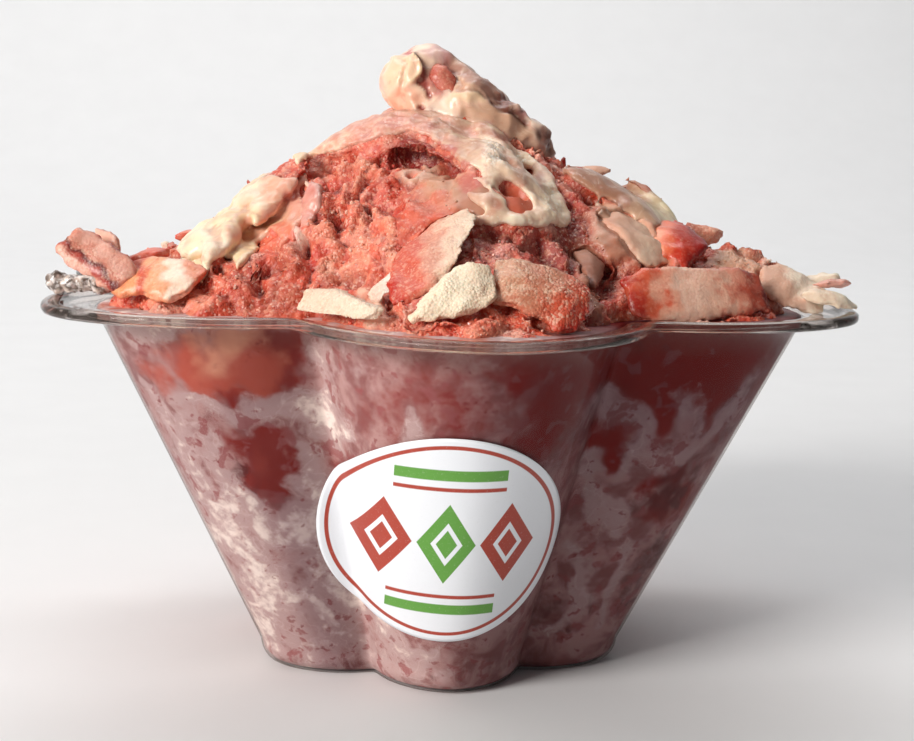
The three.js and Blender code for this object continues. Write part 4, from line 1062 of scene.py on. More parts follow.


# The heap's front as the eye meets it: x, height, half width, half height in mm, tilt in degrees,
# tint, how strong it is, how far it rises in mm, and how rough it is from 0 to 1.
# rows of deep and wine in dents are partly painted shade
HEAP_PAINT = [
    (-24, 94, 7, 7, 20, "coral", 0.7, 0.6, 1.0), (-24.5, 92.8, 1.8, 3.2, 25, "deep", 0.9, -2.4, 1.0),
    (-31, 88.2, 1.8, 1.6, 0, "deep", 0.9, -2.2, 1.0), (-28, 86, 3.2, 2.2, 20, "red", 0.85, -0.8, 0.6),
    (-22.5, 83, 2.8, 1.3, 10, "deep", 0.8, -2.0, 1.0), (-20.5, 88.5, 1.6, 6, -8, "blush", 0.8, 1.0, 0.9),
    (-26, 88.5, 1.5, 6, 18, "blush", 0.7, 1.1, 0.9), (-19, 101.2, 4.5, 2, 20, "blush", 0.7, 1.2, 1.0),
    (-27, 103.5, 1.5, 1.4, 0, "deep", 0.8, -1.2, 0.5), (-31.7, 89.3, 1.2, 2.2, 0, "milk", 0.9, 0.8, 0.3),
    (-9, 106.2, 4.4, 3.2, -8, "deep", 0.95, -3.2, 0.7), (-3, 104, 2.4, 1.6, -30, "wine", 0.9, -2.0, 0.3),
    (-18.6, 94.5, 0.9, 4, -10, "deep", 0.7, -1.6, 1.0), (-28.4, 95, 0.8, 3.4, 16, "deep", 0.7, -1.4, 1.0),
    (-14, 104.2, 2.6, 1.8, 20, "red", 0.8, -1.6, 0.8), (-12, 99.6, 4, 2.0, 0, "wine", 0.5, 0.0, 0.5),
    (-6, 101, 6, 1.2, 6, "oat", 0.85, 0.6, 0.1), (-8, 101.2, 4, 0.8, 6, "milk", 0.3, 0.3, 0.2),
    (-1, 97.4, 7, 4, 0, "sand", 0.95, -0.2, 0.05), (-5, 98.6, 4, 1.8, 10, "oat", 0.6, 0.2, 0.1),
    (-10, 95.4, 3.5, 4, 0, "ember", 0.45, 0, 0.6), (-7, 95, 4.4, 2.6, 20, "coral", 0.6, 0.0, 0.3),
    (10.4, 97, 4.6, 3, 0, "orange", 0.95, -0.6, 0.05), (2, 91, 7, 3, 6, "wine", 0.8, -0.3, 0.9),
    (14.5, 88, 4, 3.4, 0, "wine", 0.8, -0.6, 0.9), (10.5, 89.4, 3, 2.2, 0, "mauve", 0.4, 0.6, 0.9),
    (12.5, 85.8, 3.5, 2, -20, "red", 0.7, 0.4, 0.5), (10, 91.8, 5, 0.9, 4, "deep", 0.7, -0.6, 0.8),
    (17.4, 88.4, 2.6, 2.2, 0, "rose", 0.3, 0.8, 0.9), (6, 88.6, 2.4, 1.8, 0, "rose", 0.4, 0.5, 0.9),
    (21.5, 90, 5, 9, 0, "brick", 0.75, 0, 0.8), (25, 97, 3.5, 4, 0, "brick", 0.7, 0, 0.6),
    (22, 93, 3, 4, 0, "wine", 0.8, -1.0, 1.0), (22.5, 96.4, 3, 2.4, 0, "red", 0.6, 0.4, 1.0),
    (21.5, 79.7, 3.2, 3, 0, "deep", 0.75, -1.2, 0.8), (28.6, 89.4, 3.4, 4, 0, "sand", 0.9, 0.3, 0.05),
    (33, 93, 8, 3, -14, "beige", 0.8, 0.6, 0.1), (23, 84.5, 2.0, 6, 0, "taupe", 0.9, 0.5, 0.1),
    (19, 84, 1.8, 5, 0, "wine", 0.7, -0.3, 0.8), (25.5, 82, 3, 2, 0, "deep", 0.8, -1.4, 0.9),
    (29, 80, 3.5, 2.5, 0, "red", 0.6, 0.4, 0.8), (37.5, 88, 8, 3, -12, "sand", 0.8, 0.2, 0.1),
    (-46.5, 81, 7, 3, 5, "coral", 0.7, 0.8, 1.0), (-42, 78.3, 3, 2, 0, "red", 0.7, -0.4, 0.9),
    (-35.5, 85, 3.2, 1.1, 24, "deep", 0.95, -2.2, 0.6), (-39, 82.6, 2.2, 1.3, 20, "deep", 0.8, -1.6, 0.8),
    (-53, 83, 3, 1.2, -30, "deep", 0.8, -1.6, 0.8), (-57, 80.5, 4, 3, 0, "peach", 0.8, 0.2, 0.3),
    (-48, 78, 4, 1.8, 0, "red", 0.5, 0.3, 1.0), (-34, 92, 3.4, 3, 0, "rose", 0.7, 0.4, 0.2),
    (-36.5, 88, 2.8, 3.2, 0, "coral", 0.7, 0.4, 0.4), (-15, 91, 1.6, 5, 12, "peach", 0.6, 0.8, 0.9),
    (-14.6, 96.5, 2, 2, 0, "red", 0.5, -0.6, 0.9), (-30, 80, 4, 2, 0, "ember", 0.6, 0.2, 0.9),
    (-33.5, 84.5, 2.8, 4.6, 0, "ember", 0.7, 0.5, 0.8), (-24, 99, 5, 1.3, 24, "red", 0.6, -1.4, 0.9),
    (-19, 105, 5, 1.0, 24, "red", 0.7, -1.2, 0.6), (-22, 104, 5, 1.2, 25, "coral", 0.6, 0.2, 1.0),
    (30, 85, 4, 2.4, 0, "wine", 0.6, -0.8, 0.9), (47, 82, 6, 2, 0, "beige", 0.6, 0.3, 0.4),
    (43.5, 87.4, 3.4, 3.4, 0, "coral", 0.8, 0.4, 0.1), (40, 99, 7, 3, -20, "sand", 0.8, -1.4, 0.1),
    (57, 85, 7, 2.6, 0, "beige", 0.85, 0, 0.4), (-36, 79, 8, 3.4, 0, "ember", 0.8, 0, 0.6),
    (-51, 78.5, 3.5, 2, 0, "peach", 0.6, 0, 0.6), (-40, 77, 6, 2, 0, "ember", 0.6, 0, 0.8),
    (24, 103.4, 6, 2.4, -30, "brick", 0.6, 0, 0.8), (-18.2, 78.8, 2.4, 2.4, 0, "shell", 0.8, 0.5, 0.4),
    (1, 100.4, 3, 1.5, 0, "plum", 0.7, -0.2, 0.2),
]
# Places where the heap lies lower than the CAD relief: x, y, z, radius and depth in mm.
HEAP_SINKS = [(41, -9, 100, 7, 2.0), (36, -5, 102, 6, 1.6), (57, -8, 87, 10, 3.6), (2, -8, 112, 9, 1.6)]


def oval_away(v, x, z, wide, tall, tilt):
    """Distance from an oval's middle on the front, where 1 is its edge."""
    dx, dz = v[:, 0] - x, v[:, 2] - z
    c, s = math.cos(math.radians(tilt)), math.sin(math.radians(tilt))
    return np.hypot((dx * c + dz * s) / wide, (dz * c - dx * s) / tall)


def front_paint(v, rows):
    """Lays rows of paint on points: gives colour and share, rise, and roughness with its share."""
    pushed = warped(warped(v, 5.0, 2.2, 401), 2.0, 0.8, 409)
    front = 1 - smooth(v[:, 1], -2, 6)
    colour, share = np.zeros_like(v), np.zeros(len(v))
    rise, rough, held = np.zeros(len(v)), np.zeros(len(v)), np.zeros(len(v))
    for x, z, wide, tall, tilt, tint, strength, height, coarse in rows:
        inside = (1 - smooth(oval_away(pushed, x, z, wide, tall, tilt), 0.6, 1.3)) * front
        part = inside * strength
        colour = lay(colour, tint, part)
        share = share + (1 - share) * part
        rise = rise + height * inside
        rough = rough + (coarse - rough) * inside
        held = held + (1 - held) * inside
    return colour, share, rise, rough, held


# ---- Poured cream ----

# Strokes of cream as x, height and half width in mm on the heap's front, windows in it as x,
# height, half width, half height and tilt, the colours from left to right and at thin places, and frost.
COATS = {
    "cream_band": (
        [[(-31, 103.2, 1.3), (-23, 106.6, 2.0), (-17, 109.1, 2.5), (-13, 110.8, 2.3)],
         [(-13, 111.5, 2.4), (-4, 111, 2.6), (4, 109.5, 2.6), (10.5, 109, 2.6), (14, 107.5, 2.4),
          (18, 104.6, 2)],
         [(-13, 109.8, 1.4), (-5.2, 108.6, 1.1), (-1.0, 105.4, 1.2), (0.8, 103, 1.2), (1.6, 100.8, 1.1)],
         [(-1.2, 107.9, 1.8), (5, 106.1, 3.6), (11, 103.1, 4.6), (15.5, 99.6, 4.8), (18, 96.3, 3.6),
          (19.4, 94, 2.6)],
         [(3.5, 105, 1.8), (4.5, 101.6, 2.2)], [(3, 100.6, 1.3), (6, 101, 2)],
         [(0, 94, 1.2), (6.5, 93.4, 1.5), (12, 93.8, 2.0), (17, 94.6, 2.6)],
         [(1, 97.6, 1.4), (5, 96.2, 2.8)]],
        [(9.8, 97.2, 2.7, 1.1, -28), (8.6, 97.8, 0.9, 1.2, 0), (14.2, 101.8, 1.0, 0.5, -40),
         (1.4, 102.3, 1.4, 0.5, -30)],
        [(234, 196, 160), (216, 150, 128), (206, 150, 124), (234, 200, 170), (230, 194, 166)],
        (192, 98, 78), 0.3),
    "cream_drizzle_left": (
        [[(-29.5, 99, 1.4), (-32.5, 98.2, 1.8), (-37.5, 97.3, 2.6), (-40, 95.4, 3.2), (-43, 92.2, 3.5),
          (-46, 89.4, 4), (-49, 86.7, 4.4), (-51.5, 84.5, 3.2)],
         [(-49.5, 85, 2), (-49.3, 81.4, 0.9)], [(-42, 89, 3.4), (-42, 85.6, 2.2)],
         [(-47, 87.6, 2.6), (-40.5, 88.6, 3.2), (-38, 91.5, 3.0), (-37, 93.6, 3.2)],
         [(-35, 93, 2.6), (-33, 91, 2.2)], [(-33, 97, 2.4), (-31, 94, 2.6), (-34, 90, 2.2)],
         [(-34.5, 87.4, 1.2), (-31, 88.8, 1.6)]],
        [(-45.5, 83, 1.4, 1.0, 0), (-37.4, 86.6, 0.8, 1.2, 20)],
        [(240, 224, 192), (242, 222, 186), (238, 204, 160), (226, 170, 140), (220, 156, 130)],
        (222, 152, 122), 0.05),
    # cream_sheet_right is browner than the other cream: partly its own colour, partly painted shade
    "cream_sheet_right": (
        [[(23, 101.4, 1.8), (30, 99.6, 3.4), (36, 97.6, 4.2), (41, 94.6, 4.2), (45, 91, 2.4)],
         [(28, 94.5, 2), (37, 91, 2)]],
        [(33.5, 93.2, 2.4, 0.5, -20)],
        [(170, 118, 92), (178, 126, 98), (198, 150, 118), (214, 182, 144)], (158, 96, 74), 0.0),
    "cream_drip_right": (
        [[(39.5, 97.6, 1.6), (43, 95.6, 1.7), (46, 92.4, 1.5), (48, 89.6, 0.9)]],
        [], [(222, 196, 156), (234, 214, 172), (230, 206, 160)], (206, 160, 120), 0.0),
    "cream_pool_left": (
        [[(-27.6, 97.8, 1.8), (-28.6, 94.6, 2.2), (-29.6, 91.6, 1.4)],
         [(-31.8, 90.2, 1.0), (-32, 88.2, 1.3)]],
        [], [(222, 150, 138), (208, 130, 120)], (206, 108, 96), 0.0),
    "cream_back": (None, [], [(240, 200, 180), (250, 236, 206), (246, 222, 190)], (226, 150, 128), 0.05),
}
COAT_BACK_Y, COAT_FLOOR = 9, 76.5      # strokes stay in front of the first and above the second, in mm
STROKE_REACH, BACK_REACH = 8.5, 2.6    # how far from its solid a coat may lie
COAT_NET = 0.4
# Coats that lie smooth: passes of smoothing of the ice under them, and the share of their folds.
SMOOTH_COATS = {"cream_sheet_right": (18, 0.3), "cream_drip_right": (14, 0.3)}
# Paint on the cream, in the same rows as the heap's.
CREAM_PAINT = [
    (-17, 109, 4, 2, 20, "pink", 0.6, 0, 0), (-9, 110.6, 4.5, 1.6, 0, "pink", 0.7, 0, 0),
    (-4, 107.4, 3.6, 1.0, -20, "plum", 0.8, 0, 0), (-0.6, 104.4, 1.3, 3.6, 32, "plum", 0.85, 0, 0),
    (2.2, 109.8, 4, 1.6, -14, "pink", 0.6, 0, 0), (6.2, 105.4, 2.2, 3.0, 20, "froth", 0.9, 0, 1.0),
    (10.6, 101.6, 1.6, 2.2, 20, "glaze", 0.8, 0, 0), (8.8, 108.8, 3, 1, -16, "plum", 0.6, 0, 0),
    (14.4, 104.4, 3, 1.6, -40, "white", 0.6, 0, 0.6), (18.2, 96, 2.8, 3.6, 20, "white", 0.9, 0, 0.6),
    (20.4, 101, 1.6, 3.4, 30, "pink", 0.5, 0, 0), (-25, 105, 5, 1.4, 20, "white", 0.5, 0, 0.3),
    (1.4, 105.8, 2.4, 1.6, -20, "oat", 0.8, 0, 0), (2, 98, 4, 1.6, -16, "glaze", 0.6, 0, 0),
    (9, 93.4, 6, 1.0, 4, "ivory", 0.7, 0, 0.2), (27, 100, 6, 2, -16, "sand", 0.7, 0, 0),
    (43, 95, 3, 2.4, -40, "lemon", 0.8, 0, 0), (37, 94, 4, 2, -30, "beige", 0.6, 0, 0),
    (-30, 94, 3, 4, 10, "pink", 0.6, 0, 0), (-34, 89, 3, 3, 0, "coral", 0.7, 0, 0),
    (-22, 106.2, 4, 0.5, 24, "coral", 0.5, -0.8, 0), (-12, 110.4, 4, 0.5, 8, "plum", 0.5, -0.8, 0),
    (-17, 108.4, 2, 0.6, 30, "plum", 0.5, -0.6, 0), (-27, 104.6, 2.4, 0.5, 20, "peach", 0.5, -0.6, 0),
    (-36, 96.6, 3, 1.6, 20, "peach", 0.4, 0, 0), (-47, 87.4, 4, 2, 20, "froth", 0.7, 0.4, 0.2),
    (-41, 95.6, 3, 2, 30, "froth", 0.6, 0.6, 0), (-46.4, 89.6, 0.6, 3, -24, "glaze", 0.6, -0.9, 0),
    (-41, 92.4, 3, 0.5, 12, "glaze", 0.6, -0.9, 0), (-37, 94, 2.6, 1.6, 20, "pink", 0.5, 0.3, 0),
    (-33, 95.4, 2.4, 0.5, 24, "plum", 0.6, -0.9, 0), (-43, 89.6, 2.6, 1.8, 10, "pink", 0.5, 0.2, 0),
    # a painted shadow under the fold of the right sheet
    (30, 96.6, 7, 0.5, -20, "umber", 0.6, -0.6, 0),
]


def stroke_depth(v, strokes):
    """How far inside the strokes each point lies on the front, in mm."""
    p = v[:, [0, 2]]
    depth = np.full(len(v), -9.0)
    for course in strokes:
        for start, end in zip(course[:-1], course[1:]):
            a, b = np.array(start), np.array(end)
            way = b[:2] - a[:2]
            t = np.clip(((p - a[:2]) @ way) / (way @ way), 0, 1)
            away = np.linalg.norm(p - a[:2] - t[:, None] * way, axis=1)
            depth = np.maximum(depth, a[2] + t * (b[2] - a[2]) - away)
    return depth


def cream_depth(v):
    """How far inside any stroke of cream each point lies."""
    on_front = np.max([stroke_depth(v, coat[0]) for coat in COATS.values() if coat[0]], 0)
    return np.where(v[:, 1] < COAT_BACK_Y, on_front, -9)


def make_coat(node, v, f, near, salt, material):
    """Poured cream as a skin that follows the heap, thick in its middle and round at its border."""
    strokes, windows, stops, thin_colour, frost = COATS[node]
    if strokes:
        depth = np.where(v[:, 1] < COAT_BACK_Y, stroke_depth(v, strokes), -9)
        depth = np.minimum(depth, STROKE_REACH - near)
    else:
        depth = BACK_REACH - near
    for x, z, wide, tall, tilt in windows:
        away = oval_away(v, x, z, wide, tall, tilt)
        depth = np.minimum(depth, (away - 1) * min(wide, tall))
    depth = depth + 0.5 * noise(v, 3.2, salt) + 0.32 * noise(v, 1.4, salt + 1)
    depth[v[:, 2] < COAT_FLOOR] = -1
    part = f[(depth[f] > 0).all(1)]
    used = np.unique(part)
    number = np.full(len(v), -1)
    number[used] = np.arange(len(used))
    part, depth = number[part], depth[used]
    passes, folding = SMOOTH_COATS.get(node, (5, 1))
    low = relax(v[used], part, passes)
    n = normals(relax(low, part, 6), part)
    t = np.clip(depth / 2.0, 0, 1)
    folds = np.abs(noise(warped(low, 6.0, 2.0, salt + 5), 5.0, salt + 2))
    crease = front_paint(low, CREAM_PAINT)[2]
    thick = 0.1 + 0.6 * np.sqrt(t * (2 - t)) + t * folding * (0.5 - 1.3 * folds + crease)
    top = relax(low + n * thick[:, None], part, 3)
    under = low - 0.6 * n
    count = len(used)
    a, b = part.ravel(), np.roll(part, -1, axis=1).ravel()
    border = ~np.isin(a * count + b, b * count + a)
    a, b = a[border], b[border]
    walls = np.stack([b, a, a + count, b + count], 1)
    shell_v = np.concatenate([top, under])
    shell_f = np.concatenate([part, part[:, ::-1] + count, walls])
    shell_v, shell_f = remesh(shell_v, shell_f, COAT_NET)
    shell_v = relax_full(shell_v, shell_f, 3)
    froth = front_paint(shell_v, CREAM_PAINT)[3]
    ripples = folding * (0.2 * noise(shell_v, 2.4, salt + 11) + 0.1 * noise(shell_v, 1.2, salt + 12))
    ripples = ripples + 0.22 * froth * noise(shell_v, 0.9, salt + 13)
    shell_v = shell_v + normals(shell_v, shell_f) * ripples[:, None]
    tint = colours_along(shell_v, (1, 0, 0), stops, 0.22)
    hollow = pits(shell_v, shell_f, 12)
    rim = smooth(-hollow, 0.02, 0.3)
    tint = blend(tint, srgb(*thin_colour), 0.6 * smooth(noise(shell_v, 3.6, salt + 7), 0.05, 0.6) * (1 - rim))
    # painted shade in the cream's hollows
    tint = blend(tint, srgb(*thin_colour) * 0.8, 0.75 * smooth(hollow, 0.04, 0.35))
    # painted highlight on its rounded border
    tint = lay(tint, "gleam", 0.3 * rim)
    colour, share, _, grainy, _ = front_paint(shell_v, CREAM_PAINT)
    tint = tint * (1 - share)[:, None] + colour
    dust = np.maximum(frost * np.clip(0.6 + 1.2 * noise(shell_v, 4.0, salt + 9), 0, 1), grainy)
    piece = make_object(node + "_look", shell_v, shell_f, material, {"tint": tint}, {"frost": dust})
    hand_over(piece, CREAM, node)


HEAD_NODES = ("cream_head", "cream_flank", "cream_blob")
HEAD_NETS = (0.6, 0.45)      # net sizes while the head is swollen, and at last, in mm
HEAD_ROUGH = 0.3
# Paint on the head, in the same rows as the heap's.
# rows of deep, wine and umber in dents and creases are painted shade
HEAD_PAINT = [
    (-8.5, 119, 6, 8, 0, "shell", 0.9, 0, 0.1), (-10.5, 121, 3.4, 3.6, 0, "butter", 0.4, 0, 0.1),
    (-7.0, 121.2, 0.7, 3.2, -12, "butter", 0.8, 0.9, 0.1), (-9, 115, 3, 2.4, 0, "peach", 0.5, 0, 0.1),
    (-9.8, 119.4, 0.6, 3.2, 16, "shell", 0.3, -0.8, 0.1), (4, 121, 8, 2.6, -38, "heather", 0.95, 0, 0.1),
    (9, 116.6, 6, 2.4, -38, "heather", 0.9, 0, 0.3), (-2.4, 125, 3, 1.8, -16, "rose", 0.85, 0.2, 0.1),
    (-7.6, 125.2, 1.2, 1.4, 0, "red", 0.95, 0.1, 0.1),
    (-1.8, 120.6, 3.0, 3.6, -20, "plum", 0.85, -0.1, 0.3),
    (-5.2, 120, 1.0, 4.2, 18, "deep", 0.9, -0.7, 0.1), (4.5, 115, 6, 3.8, -12, "shell", 0.9, 0.4, 0.1),
    (4, 117, 3.4, 1.8, -20, "butter", 0.6, 0, 0.1), (12, 110.8, 7, 3.4, -34, "oat", 0.9, 0, 0.1),
    (4.6, 112.6, 3.4, 1.4, -20, "oat", 0.7, 0, 0.1), (11, 115.4, 3.8, 1.3, -42, "umber", 0.9, -0.8, 0.9),
    (14.6, 112.8, 2.4, 1.2, -45, "umber", 0.8, -0.7, 0.9),
    (20, 108, 3.4, 1.5, -48, "umber", 0.85, -0.4, 1.0), (3, 118.4, 4.5, 0.5, -8, "heather", 0.7, -0.6, 0.1),
    (0, 110, 6, 1.6, -10, "pink", 0.7, 0, 0.3), (10, 108.4, 5, 1.0, -12, "pink", 0.6, 0, 0.2),
    (-5.4, 113.4, 1.2, 0.9, 0, "wine", 0.9, -1.2, 0.5), (-1.2, 111.6, 1.2, 0.8, 0, "wine", 0.9, -1.2, 0.5),
    (3.6, 110.2, 0.8, 1.2, 20, "deep", 0.9, -1.4, 0.5), (-8.4, 112, 3, 1.2, 0, "blush", 0.6, 0, 0.6),
]
# Balls that the head is blended from: x, y, height and radius in mm.
HEAD_BALLS = [
    (-9, -2, 118.6, 4.3), (-6.8, -2, 121.8, 3.6), (-3, -2, 123.6, 3.1), (-0.6, -1.5, 123.2, 3),
    (3.2, -1, 119.6, 3.9), (6.8, -1, 117.4, 3.6), (9.8, -1, 114.6, 3.7), (12.6, -2, 112.2, 3.5),
    (15.5, -3, 109.4, 3.3), (18.2, -4, 107.6, 3), (20.6, -4, 105.2, 2.6), (-6.5, -4, 115, 4.2),
    (-2, -6, 114.5, 4.6), (3, -7, 113, 4.8), (7.5, -7.5, 111.8, 4.5), (12, -7, 109.5, 4),
    (16, -7, 106.8, 3.2), (-6, -9, 111.4, 2.4), (0, -11, 110.4, 3), (6, -12, 109, 3), (11.5, -11, 108, 2.8),
    (-3, 3, 117, 6), (4, 4, 114, 6), (10, 3, 111, 5), (15, 2, 107.5, 4),
]
# Straight cuts of the head, as in TRIMS.
HEAD_CUTS = [(1.5, 124.0, 0.595, 0.804)]


def make_head(material):
    """The milk and fruit at the top: one craggy mass of folds and lobes."""
    balls = [(BALL_V * ball[3] + ball[:3], BALL_F) for ball in HEAD_BALLS]
    cores = []
    for node in HEAD_NODES:
        v, f = remesh(*cad(node), HEAD_NETS[0])
        cores.append((relax_full(v, f, 24), halved(f)))
    v, f = remesh(*joined(cores + balls), HEAD_NETS[0])
    # swollen and then drawn in again, which fills the narrow dips between the balls
    v = relax(v, f, 6)
    v, f = remesh(v + 2.6 * normals(v, f), f, HEAD_NETS[0])
    v = relax(v, f, 14)
    v, f = remesh(v - 2.3 * normals(relax(v, f, 6), f), f, HEAD_NETS[1])
    v = relax(v, f, 6)
    v = relax(cut_front(v, HEAD_CUTS, 0.85), f, 10)
    n = normals(relax(v, f, 4), f)
    colour, share, rise, rough, held = front_paint(v, HEAD_PAINT)
    rough = HEAD_ROUGH + held * (rough - HEAD_ROUGH)
    folds = 0.5 - 1.6 * np.abs(noise(warped(v, 7.0, 3.0, 501), 5.2, 503))
    grain = 0.6 * noise(v, 1.7, 505) + 0.35 * noise(v, 0.95, 507)
    v = v + n * (0.8 * folds + 0.3 * noise(v, 3.4, 504) + rise + rough * grain)[:, None]
    v = relax(v, f, 1, 0.4)
    hue = layered(v, 6.0, 3, 511)
    tint = lay(srgb(*TINTS["milk"]), "rose", smooth(hue, 0.0, 0.6))
    # painted shade: the right and back, turned away from the key light, go heather
    tint = lay(tint, "heather", smooth(v[:, 0] + v[:, 1], 4, 16) * 0.8)
    tint = tint * (1 - share)[:, None] + colour
    # painted shade in the head's pits
    hollow = pits(v, f, 10)
    tint = lay(tint, "wine", 0.7 * smooth(hollow, 0.15, 0.6))
    piece = make_object("cream_top_look", v, f, material, {"tint": tint}, {"frost": 0.0})
    hand_over(piece, CREAM, *HEAD_NODES)


# ---- The ice above the rim ----


def heap_body(rng, covers):
    """The ice as one form: the CAD relief, the swell under the cream, and packed grains."""
    # single precision, because the places drawn for the grains depend on the last digits
    ice_v, ice_f = cad("shaved_ice")
    v, f = joined([(ice_v.astype(np.float32), ice_f)] + [cad(node) for node in COATS])
    places, unit = scatter(v, f, HEAP_GRAINS, rng, lambda p, n: (p[:, 2] > GRAIN_FLOOR) & (n[:, 2] > 0))
    sizes = 0.4 + 0.8 * rng.uniform(size=len(places)) ** 2.4
    room = distance_to(covers, places)
    places, unit, sizes, room = [a[room > 0.5] for a in (places, unit, sizes, room)]
    sizes = np.minimum(sizes, 0.4 + 0.7 * room)
    lift = rng.uniform(-0.95, -0.15, len(places)) * sizes
    v, f = joined([(v, f), grains(places + unit * lift[:, None], sizes, rng)])
    return remesh(v, f, HEAP_NET)


def large_lumps(v):
    """Lumps that are long down the slope on the heap's flanks, and as wide as long near its top."""
    bent = warped(v, 9.0, 3.0, 601)
    angle, out = np.arctan2(bent[:, 0], -bent[:, 1]), np.hypot(bent[:, 0], bent[:, 1])
    long_inside, long_own = lumps(np.stack([angle * 40.0, out * 0.5, bent[:, 2] * 0.5], 1), 4.8, 611)
    round_inside, round_own = lumps(bent, 5.6, 613)
    share = smooth(out, 20, 30)
    inside = blend(round_inside[:, None], long_inside[:, None], share)[:, 0]
    return inside, np.where(share > 0.5, long_own, round_own)


def close_foot(piece):
    """Drops the points that no face uses, and fills the open border."""
    bm = bmesh.new()
    bm.from_mesh(piece.data)
    bmesh.ops.delete(bm, geom=[w for w in bm.verts if not w.link_faces], context="VERTS")
    bmesh.ops.triangle_fill(bm, use_beauty=True, edges=[e for e in bm.edges if e.is_boundary])
    bm.to_mesh(piece.data)
    bm.free()


def make_heap(materials):
    """The heap of ice above the rim, and the coats of cream that lie on it."""
    rng = np.random.default_rng(7)
    covers = tree_of([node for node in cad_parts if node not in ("bowl", "label", "shaved_ice")])
    slices = tree_of(LOOKS)
    v, f = heap_body(rng, covers)
    v = relax(v, f, 1, 0.4)
    near = {node: distance_to(tree_of([node]), v) for node in COATS}
    n = normals(relax(v, f, 3), f)
    colour, share, rise, rough, held = front_paint(v, HEAP_PAINT)
    rough = HEAP_ROUGH + held * (rough - HEAP_ROUGH)
    ends = smooth(v[:, 2], HEAP_CUT + 0.2, HEAP_CUT + 2.5)
    inside, own = large_lumps(v)
    large = smooth(inside, 0, 0.42) - 0.95 + 0.5 * (own - 0.5)
    sink = np.zeros(len(v))
    for x, y, z, radius, depth in HEAP_SINKS:
        sink += depth * np.exp(-(np.linalg.norm(v - np.array([x, y, z]), axis=1) / radius) ** 2)
    bed = v + n * ((0.45 * large + 0.5 * rise - 0.7 * sink) * ends)[:, None]
    for number, node in enumerate(COATS):
        make_coat(node, bed, f, near[node], 700 + 20 * number, materials[CREAM])
    inside2, own2 = lumps(warped(v, 4.0, 1.2, 621), 2.7, 623)
    inside3, own3 = lumps(v, 1.35, 627)
    middle = smooth(inside2, 0, 0.3) - 0.7 + 0.5 * (own2 - 0.5)
    small = smooth(inside3, 0, 0.35) - 0.5
    relief = rise + rough * (1.7 * large + 0.4 * middle + 0.14 * small) + 0.3 * noise(v, 3.0, 33) - 0.2
    # lower behind the right shoulder, where the camera would see it over the front
    relief = relief - 1.4 * np.exp(-(np.hypot(v[:, 0] - 38, v[:, 1] - 12) / 15) ** 2) - sink
    room = distance_to(slices, v)
    relief = np.where(relief > 0, np.minimum(relief, 0.2 + 0.5 * room), relief)
    under_cream = 1 - smooth(np.min(list(near.values()), 0), 0.2, 1.2)
    v = v + n * (relief * ends * (1 - 0.6 * under_cream))[:, None]
    tint = heap_tint(v, f, inside, inside2, own, own2, own3, rough)
    tint = tint * (1 - 0.94 * share)[:, None] + 0.94 * colour
    # painted shade in the small pits
    fine = pits(v, f, 3)
    tint = lay(tint, "deep", 0.35 * smooth(fine, 0.1, 0.4))
    f = f[~(v[f][:, :, 2] < HEAP_CUT + 0.25).all(1)]
    piece = make_object("ice_heap", v, f, materials["shaved_ice"], {"tint": tint}, {"frost": rough})
    close_foot(piece)
    hand_over(piece, "shaved_ice", "shaved_ice")
    return v, f, covers, tint, rough


def heap_tint(v, f, inside, inside2, own, own2, own3, rough):
    """Coral ice with milk in it, each lump a little different; painted highlight on crests, red painted shade
    in crevices.
    """
    broad = pits(v, f, 18)
    hue = layered(v, 11.0, 3, 41)
    base = lay(srgb(*TINTS["base"]), "blush", 0.8 * smooth(hue, 0.0, 0.6))
    base = lay(base, "red", 0.45 * smooth(-hue, 0.1, 0.6))
    base = lay(base, "rose", 0.15 * smooth(layered(v, 16.0, 2, 45), 0.15, 0.5))
    base = lay(base, "milk", 0.5 * smooth(own, 0.82, 0.95) * smooth(inside, 0.05, 0.3))
    base = lay(base, "milk", 0.3 * smooth(own2, 0.74, 0.9))
    base = lay(base, "red", 0.3 * smooth(0.25 - own2, 0.0, 0.15))
    base = base * (0.84 + 0.16 * own3)[:, None]
    # painted highlight on the broad crests; painted shade in the broad hollows and between lumps and grains
    base = lay(base, "crest", 0.5 * smooth(-broad, 0.25, 1.0))
    base = lay(base, "deep", 0.55 * smooth(broad, 0.35, 1.4))
    base = lay(base, "crevice", 0.5 * (1 - smooth(inside, 0.0, 0.16)) * rough)
    base = lay(base, "gap", 0.25 * (1 - smooth(inside2, 0.0, 0.12)) * rough)
    return base


# ---- Loose grains, clump and label ----

# Loose grains: name, slot, number, least size and how much more in mm, and brightness.
LOOSE_KINDS = (
    ("ice_crumbs", "shaved_ice", 3200, 0.2, 0.42, 1.0),
    ("ice_crystals", "clear_ice", 900, 0.16, 0.3, 1.25))


